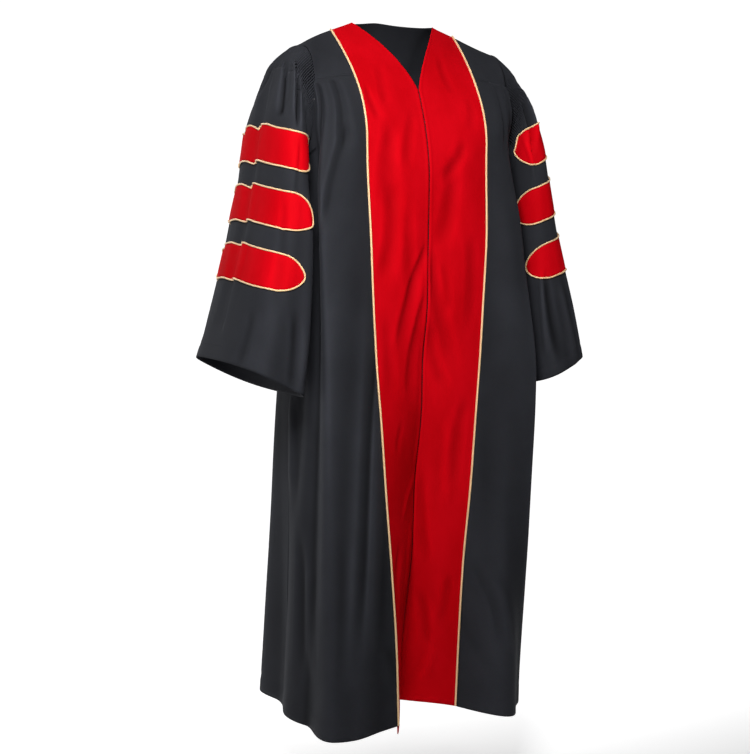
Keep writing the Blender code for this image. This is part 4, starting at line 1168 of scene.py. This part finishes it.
def flute_relief(place, end, share):
    """Relief of the flutes at this distance round the armhole: a rounded wave with narrow
    valleys, its spacing wandering a little, and none of it past the band's two ends."""
    wander = 0.35 * np.sin(place / 0.013) + 0.25 * np.sin(place / 0.031 + 1.0)
    wave = np.abs(np.cos(np.pi * place / FLUTE_PITCH + wander)) ** 0.6
    return FLUTE_DEPTH * (2 * wave - 1.0) * share * ease((end - np.abs(place)) / 0.006)


def sleeve_relief(side, angle, run):
    """All the finer relief of a sleeve: its gathers, its creases, and its turned cuff."""
    degrees = (np.degrees(angle) + 180.0) % 360.0 - 180.0
    out = creases(SLEEVE_CREASES[side], degrees, run, SLEEVE_DEGREE, SLEEVE_LENGTH)
    out += gathers(SLEEVE_GATHERS, degrees, run, FLUTED_BAND, SLEEVE_DEGREE * 0.75)
    out += slow_waves(degrees * SLEEVE_DEGREE, run * SLEEVE_LENGTH, 0.0006, 6 + side)
    return out + turned_hem((1.0 - run) * SLEEVE_LENGTH, CUFF_HEM)


def draped_sleeve(side):
    """The sleeve's finished outer face, on the +X side for both."""
    folds = SLEEVE_FOLDS[side]
    return lambda angle, run: sleeve(folds, angle, run, sleeve_relief(side, angle, run))


for side in (1, -1):
    angles, arc = sleeve_girth(0.0)
    front_end = np.interp(math.radians(FLUTES_TURN), angles, arc)
    over = np.linspace(-front_end, front_end, FLUTE_COLUMNS)
    under = np.linspace(front_end, arc[-1] - arc[0] - front_end, 40)[1:-1]
    places = np.concatenate([over, under])
    around = np.interp((places - arc[0]) % (arc[-1] - arc[0]) + arc[0], arc, angles)
    in_band = np.where(np.arange(len(places)) < FLUTE_COLUMNS, places, 2 * front_end)
    runs = np.concatenate([np.linspace(0.003, 0.048, 10), np.linspace(0.051, FLUTES_END, 9)])
    full = (0.75 + 0.25 * ease(runs / 0.03)) * (1.0 - ease((runs - 0.046) / (FLUTES_END - 0.046)))
    relief = flute_relief(in_band[None, :], front_end, full[:, None])
    relief -= 0.0005 * bump(runs[:, None] * SLEEVE_LENGTH - HEAD_STITCHING, 0.0008)
    rows = lifted(draped_sleeve(side), around[None, :], runs[:, None], -relief)
    rows = mirrored(rows, side)[:, ::-1]
    name = f"sleeve_head_{SIDE_NAMES[side]}"
    piece = cloth_piece(f"{name}_cloth", rows, HEAD_CLOTH, gown_black, closed=True)
    placed(piece, "cloth", name)

# Sleeves: black bells that spring from the flutes in a fan of folds and fall to a wide open cuff
# with a turned hem. A long crease runs down over the arm.


def crowded(start, end, count, middle, reach, gain, with_end=True):
    """Places from start to end, this many times closer together about a middle."""
    fine = np.linspace(start, end, 4001)
    density = 1.0 + gain * bump(fine - middle, reach / 2)
    total = np.concatenate([[0.0], np.cumsum((density[1:] + density[:-1]) / 2)])
    return np.interp(np.linspace(0.0, total[-1], count, endpoint=with_end), total, fine)


for side in (1, -1):
    start = FLUTES_END - 0.001
    runs = start + (1.0 - start) * np.linspace(0.0, 1.0, 118) ** 1.1
    angles, arc = sleeve_girth(0.4)
    places = crowded(arc[0], arc[-1], 236, 0.002, 0.020, 5.0, False)
    around = np.interp(places, arc, angles)
    rows = mirrored(draped_sleeve(side)(around[None, :], runs[:, None]), side)[:, ::-1]
    name = f"sleeve_{SIDE_NAMES[side]}"
    piece = cloth_piece(f"{name}_cloth", rows, CLOTH, gown_black, closed=True)
    placed(piece, "cloth", name)
    cuff = topstitch(f"{name}_cuff_stitching", rows, CUFF_HEM, gown_black, closed=True)

# Sleeve bars: three bands of the same velvet laid on each sleeve, with rounded ends, and gold
# braid sewn round their edges. They follow the sleeve's folds, and step where the crease is.

BAR_PIPING_RADIUS = 0.0016
BAR_THICKNESS = 0.0012
BAR_GAP = 0.0006
BAR_HEIGHT = 0.062
BAR_END = 0.056
BAR_TIP_ROUNDNESS = 1.8
BAR_FALL = {1: 0.26, -1: 0.15}
BAR_TURN = {1: 0.022, -1: 0.0}
BAR_SHIFT = {1: 0.032, -1: -0.004}
BAR_TIP = 0.0006
BAR_CROWN = 0.0004
BAR_OVERLAP = 0.0003
STEP_TURN = (0.62, 0.38)
BAR_FLAT = 0.04
BAR_BEND = 0.03
CREASE_PLACE = 0.0025
BY_CREASE = (CREASE_PLACE, 0.016, 4.0)

# From the top: height of the bar's middle over the arm, how far it reaches from there towards
# the front on either sleeve and towards the back, and how far its upper edge steps down behind
# the long crease
BARS = (
    (-0.222, 0.2225, 0.2220, 0.156, 0.0060),
    (-0.327, 0.2060, 0.2505, 0.156, 0.0045),
    (-0.433, 0.1950, 0.2300, 0.150, 0.0020),
)


def bar_run(side, z, place, around, step=0.0):
    """Where each point at this distance round the sleeve lies along it, at the height z: it
    falls away to both sides, and by a step just behind the long crease."""
    away = np.where(place > 0, place, np.minimum(place + BAR_FLAT, 0.0) if side < 0 else place)
    target = z + BAR_SHIFT[side] - BAR_FALL[side] * (np.hypot(away, BAR_BEND) - BAR_BEND)
    behind = CREASE_PLACE - place
    target = target - step * ease(behind / 0.0025) * np.exp(-np.maximum(behind, 0.0) / 0.035)
    along = np.linspace(FLUTED_BAND + 0.012, 1.0, 240)
    heights = sleeve((), around[:, None], along[None, :])[..., 2]
    return np.array([np.interp(-t, -h, along) for t, h in zip(target, heights)])


def bar_half_height(place, to_front, to_back, margin=0.0):
    """Half height of a bar at this distance round the sleeve: even, with bullet ends."""
    from_tip = np.minimum(to_front - place, place + to_back) + margin
    into_end = np.clip(1.0 - from_tip / (BAR_END + margin), 0.0, 1.0)
    rounded = (1.0 - into_end**BAR_TIP_ROUNDNESS) ** (1.0 / BAR_TIP_ROUNDNESS)
    return (BAR_HEIGHT / 2 + margin) * rounded


for side in (1, -1):
    outer_face = draped_sleeve(side)
    for number, (z, right_front, left_front, to_back, step) in enumerate(BARS, start=1):
        to_front = left_front if side > 0 else right_front
        to_back = to_back - BAR_TURN[side]
        step = step if side < 0 else 0.0
        run = bar_run(side, z, np.zeros(1), np.zeros(1))[0]
        angles, arc = sleeve_girth(run)
        middle, reach = (to_front - to_back) / 2, (to_front + to_back) / 2 - BAR_TIP
        place = crowded(middle - reach, middle + reach, 170, *BY_CREASE)
        half = bar_half_height(place, to_front - BAR_TIP, to_back - BAR_TIP) + BAR_OVERLAP
        around = np.interp(place, arc, angles)
        across = np.linspace(1.0, -1.0, 19)
        steps = step * (STEP_TURN[0] + STEP_TURN[1] * across)
        runs = [bar_run(side, z + s * half, place, around, t) for s, t in zip(across, steps)]
        runs = np.array(runs)
        crown = BAR_CROWN * (1 - across[:, None] ** 4)
        rows = lifted(outer_face, around + 0 * runs, runs, -(BAR_THICKNESS + BAR_GAP + crown))
        rows = mirrored(rows, side)[:, ::-1]
        name = f"bar_{SIDE_NAMES[side]}_{number}"
        piece = cloth_piece(f"{name}_velvet", rows, BAR_THICKNESS, velvet)
        placed(piece, "velvet", name)
        margin = BAR_PIPING_RADIUS * 0.8
        reach = reach + BAR_TIP + margin
        there = crowded(middle - reach, middle + reach, 260, *BY_CREASE)
        ends = middle + reach * np.cos(np.linspace(0.0, np.pi, 60))[1:-1]
        there = np.unique(np.concatenate([there, ends]))
        places = np.concatenate([there, there[-2:0:-1]])
        upper = np.where(np.arange(len(places)) < len(there), 1.0, -1.0)
        rise = bar_half_height(places, to_front, to_back, margin) * upper
        edge = np.interp(places, arc, angles)
        runs = bar_run(side, z + rise, places, edge, step * (STEP_TURN[0] + STEP_TURN[1] * upper))
        path = lifted(outer_face, edge, runs, -(BAR_GAP + BAR_PIPING_RADIUS) + 0 * runs)
        path = path * (side, 1, 1)
        piping = f"bar_piping_{SIDE_NAMES[side]}_{number}"
        braid = cord_of_braid(f"{piping}_braid", path, BAR_PIPING_RADIUS, gold, 8, closed=True)
        placed(braid, "piping", piping)

# Zip: a closed coil zip behind the centre edges, down to below the hips. Its dark tape is sewn
# behind both edges, and its slider rests at the top, inside.

ZIP_LENGTH = 0.66
ZIP_TAPE_WIDTH = 0.024
ZIP_TAPE_THICKNESS = 0.0008
TOOTH_PITCH = 0.003
TOOTH_LENGTH = 0.0044
TOOTH_THICKNESS = 0.0016
TOOTH_OFFSET = 0.0009
RIB_PITCH = 0.0012


def dark_tape():
    """Woven zip tape: a fine rib along its length, almost black."""
    made, shader, add = new_material("zip_tape_weave", (0.028, 0.008, 0.014), 0.8)
    ribs = sine_of(add, add("UVMap", uv_map="Cloth"), 0, RIB_PITCH)
    nap = add("TexNoise", Vector=add("TexCoord").outputs["Object"], Scale=900.0)
    both = add("Math", ribs, nap, operation="ADD")
    wire(shader, Normal=add("Bump", Height=both, Strength=0.4, Distance=0.0002))
    return made


def zip_metal():
    """Dark painted metal with fine scratches in its roughness."""
    made, shader, add = new_material("zip_metal", (0.045, 0.02, 0.03), 0.35)
    wear = add("TexNoise", Vector=add("TexCoord").outputs["Object"], Scale=700.0, Detail=4.0)
    wire(shader, Roughness=add("MapRange", wear, 0.0, 1.0, 0.28, 0.55), Metallic=0.7)
    return made


drops = np.linspace(V_DEPTH + 0.004, V_DEPTH + ZIP_LENGTH, 220)
middle = front_line("centre_x", drops)
behind = (VELVET + 4 * SEAM_GAP) * 1.4
centre = velvet_front(1)(np.zeros(len(drops)), drops)
across = np.linspace(-1.0, 1.0, 9) * ZIP_TAPE_WIDTH / 2
rows = centre[:, None, :] + np.zeros((1, 9, 1))
rows[:, :, 0] = middle[:, None] + across
edge_share = np.abs(across)[None, :] / facing_edge(1, drops)[:, None]
beside = velvet_front(1)(edge_share, drops[:, None])
rows[:, :, 1] = np.maximum(beside[:, :, 1], centre[:, 1:2]) + behind
tape = cloth_piece("zip_tape_weave", rows, ZIP_TAPE_THICKNESS, dark_tape())
placed(tape, "zip_tape", "zip_tape")

coil_metal = zip_metal()
count = int(ZIP_LENGTH / TOOTH_PITCH)
tooth_drops = np.linspace(V_DEPTH + 0.016, V_DEPTH + ZIP_LENGTH - 0.006, count)
hand = np.where(np.arange(count) % 2 == 0, 1.0, -1.0)
tooth = velvet_front(1)(np.zeros(count), tooth_drops)
tooth[:, 0] = front_line("centre_x", tooth_drops) + hand * TOOTH_OFFSET
tooth[:, 1] += behind - TOOTH_OFFSET
half_tooth = np.array([TOOTH_LENGTH / 2, 0.0, 0.0])
path = np.stack([tooth - half_tooth, tooth + half_tooth], 1).reshape(-1, 3)
forward = np.tile(np.array([0.0, -1.0, 0.0]), (2 * count, 1))
teeth = stitches("zip_teeth", path, forward, TOOTH_LENGTH, TOOTH_THICKNESS, coil_metal)
placed(teeth, "zip_slider")
for slot_of_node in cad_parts["zip_slider"].material_slots:
    slot_of_node.material = coil_metal

# Floor, light and camera. The gown hangs as if worn, its hem clear of the floor, and the floor
# is pale paper that sweeps up behind it and glows there as a bright backdrop.

FLOOR_DROP = 1.45
FLOOR_REACH = 9.0
SWEEP_START = 4.0
SWEEP_RISE = 6.0
FLOOR_ROWS = 60
GLOW_BEGINS = -0.7
GLOW_FULL = 0.3
BACKDROP_GLOW = 0.85
ROOM_LIGHT = 0.13

across = np.linspace(-FLOOR_REACH, FLOOR_REACH, 3)
along = np.linspace(-6.0, SWEEP_START + SWEEP_RISE, FLOOR_ROWS)
climb = np.clip((along - SWEEP_START) / SWEEP_RISE, 0.0, 1.0)
rise = SWEEP_RISE * (1.0 - np.sqrt(1.0 - climb**2)) - FLOOR_DROP
rows = np.stack(np.broadcast_arrays(across[None, :], along[:, None], rise[:, None]), -1)
faces = cells(np.arange(3 * FLOOR_ROWS).reshape(-1, 3))[:, :, TURNED_ROUND].reshape(-1, 4).tolist()
paper, shader, add = new_material("pale_paper", (0.93, 0.93, 0.93), 0.9)
place = add("TexCoord").outputs["Object"]
grain = add("TexNoise", Vector=place, Scale=60.0, Detail=3.0)
tint = two_tones(add, grain, (0.0, (0.92, 0.92, 0.925)), (1.0, (0.95, 0.95, 0.95)))
away = add("SeparateXYZ", place).outputs[1]
glow = add("MapRange", away, GLOW_BEGINS, GLOW_FULL, 0.0, BACKDROP_GLOW)
wire(shader, Base_Color=tint, Emission_Strength=glow, Emission_Color=(1.0, 1.0, 1.0, 1.0))
add_mesh("floor", rows, faces, paper)

world = bpy.data.worlds.new("soft_room")
bpy.context.scene.world = world
world.use_nodes = True
wire(world.node_tree.nodes["Background"], (1.0, 1.0, 1.0, 1.0), ROOM_LIGHT)

# Soft boxes: place, what it is aimed at, power in watts, size in metres, and the angle of its
# beam in degrees
LIGHTS = (
    ((-0.90, -1.4, 0.45), (-0.15, 0.0, -0.4), 8.8, 0.6, 75),
    ((0.6, -1.5, 0.8), (0.0, 0.0, -0.2), 0.7, 0.9, 90),
    ((0.0, 0.3, 1.6), (0.0, 0.0, -0.3), 4, 1.2, 180),
)
for number, (place, target, power, size, beam) in enumerate(LIGHTS, start=1):
    lamp = bpy.data.lights.new(f"soft_box_{number}", "AREA")
    lamp.energy = power
    lamp.size = size
    lamp.spread = math.radians(beam)
    stand = bpy.data.objects.new(f"soft_box_{number}", lamp)
    bpy.context.scene.collection.objects.link(stand)
    stand.location = place
    stand.rotation_mode = "QUATERNION"
    stand.rotation_quaternion = (Vector(target) - Vector(place)).to_track_quat("-Z", "Y")

IMAGE_WIDTH, IMAGE_HEIGHT = 750, 754
FOCAL_PIXELS = 1574.0
VIEW_DISTANCE = 3.0
VIEW_HEIGHT = -0.36
VIEW_TURN = math.radians(-27.0)
VIEW_PITCH = math.radians(5.78)
AXIS_PIXEL = 392.0

lens = bpy.data.cameras.new("camera")
camera = bpy.data.objects.new("camera", lens)
bpy.context.scene.collection.objects.link(camera)
lens.sensor_width = 36.0
lens.lens = 36.0 * FOCAL_PIXELS / IMAGE_HEIGHT
heading = Vector((-math.sin(VIEW_TURN), math.cos(VIEW_TURN), 0.0))
camera.location = Vector((0.0, 0.0, VIEW_HEIGHT)) - VIEW_DISTANCE * heading
aim = heading * math.cos(VIEW_PITCH) - Vector((0.0, 0.0, math.sin(VIEW_PITCH)))
swing = math.atan((IMAGE_WIDTH / 2 - AXIS_PIXEL) / FOCAL_PIXELS)
aim = Matrix.Rotation(-swing, 3, "Z") @ aim
camera.rotation_mode = "QUATERNION"
camera.rotation_quaternion = aim.to_track_quat("-Z", "Y")
bpy.context.scene.camera = camera
bpy.context.scene.view_settings.view_transform = "Standard"
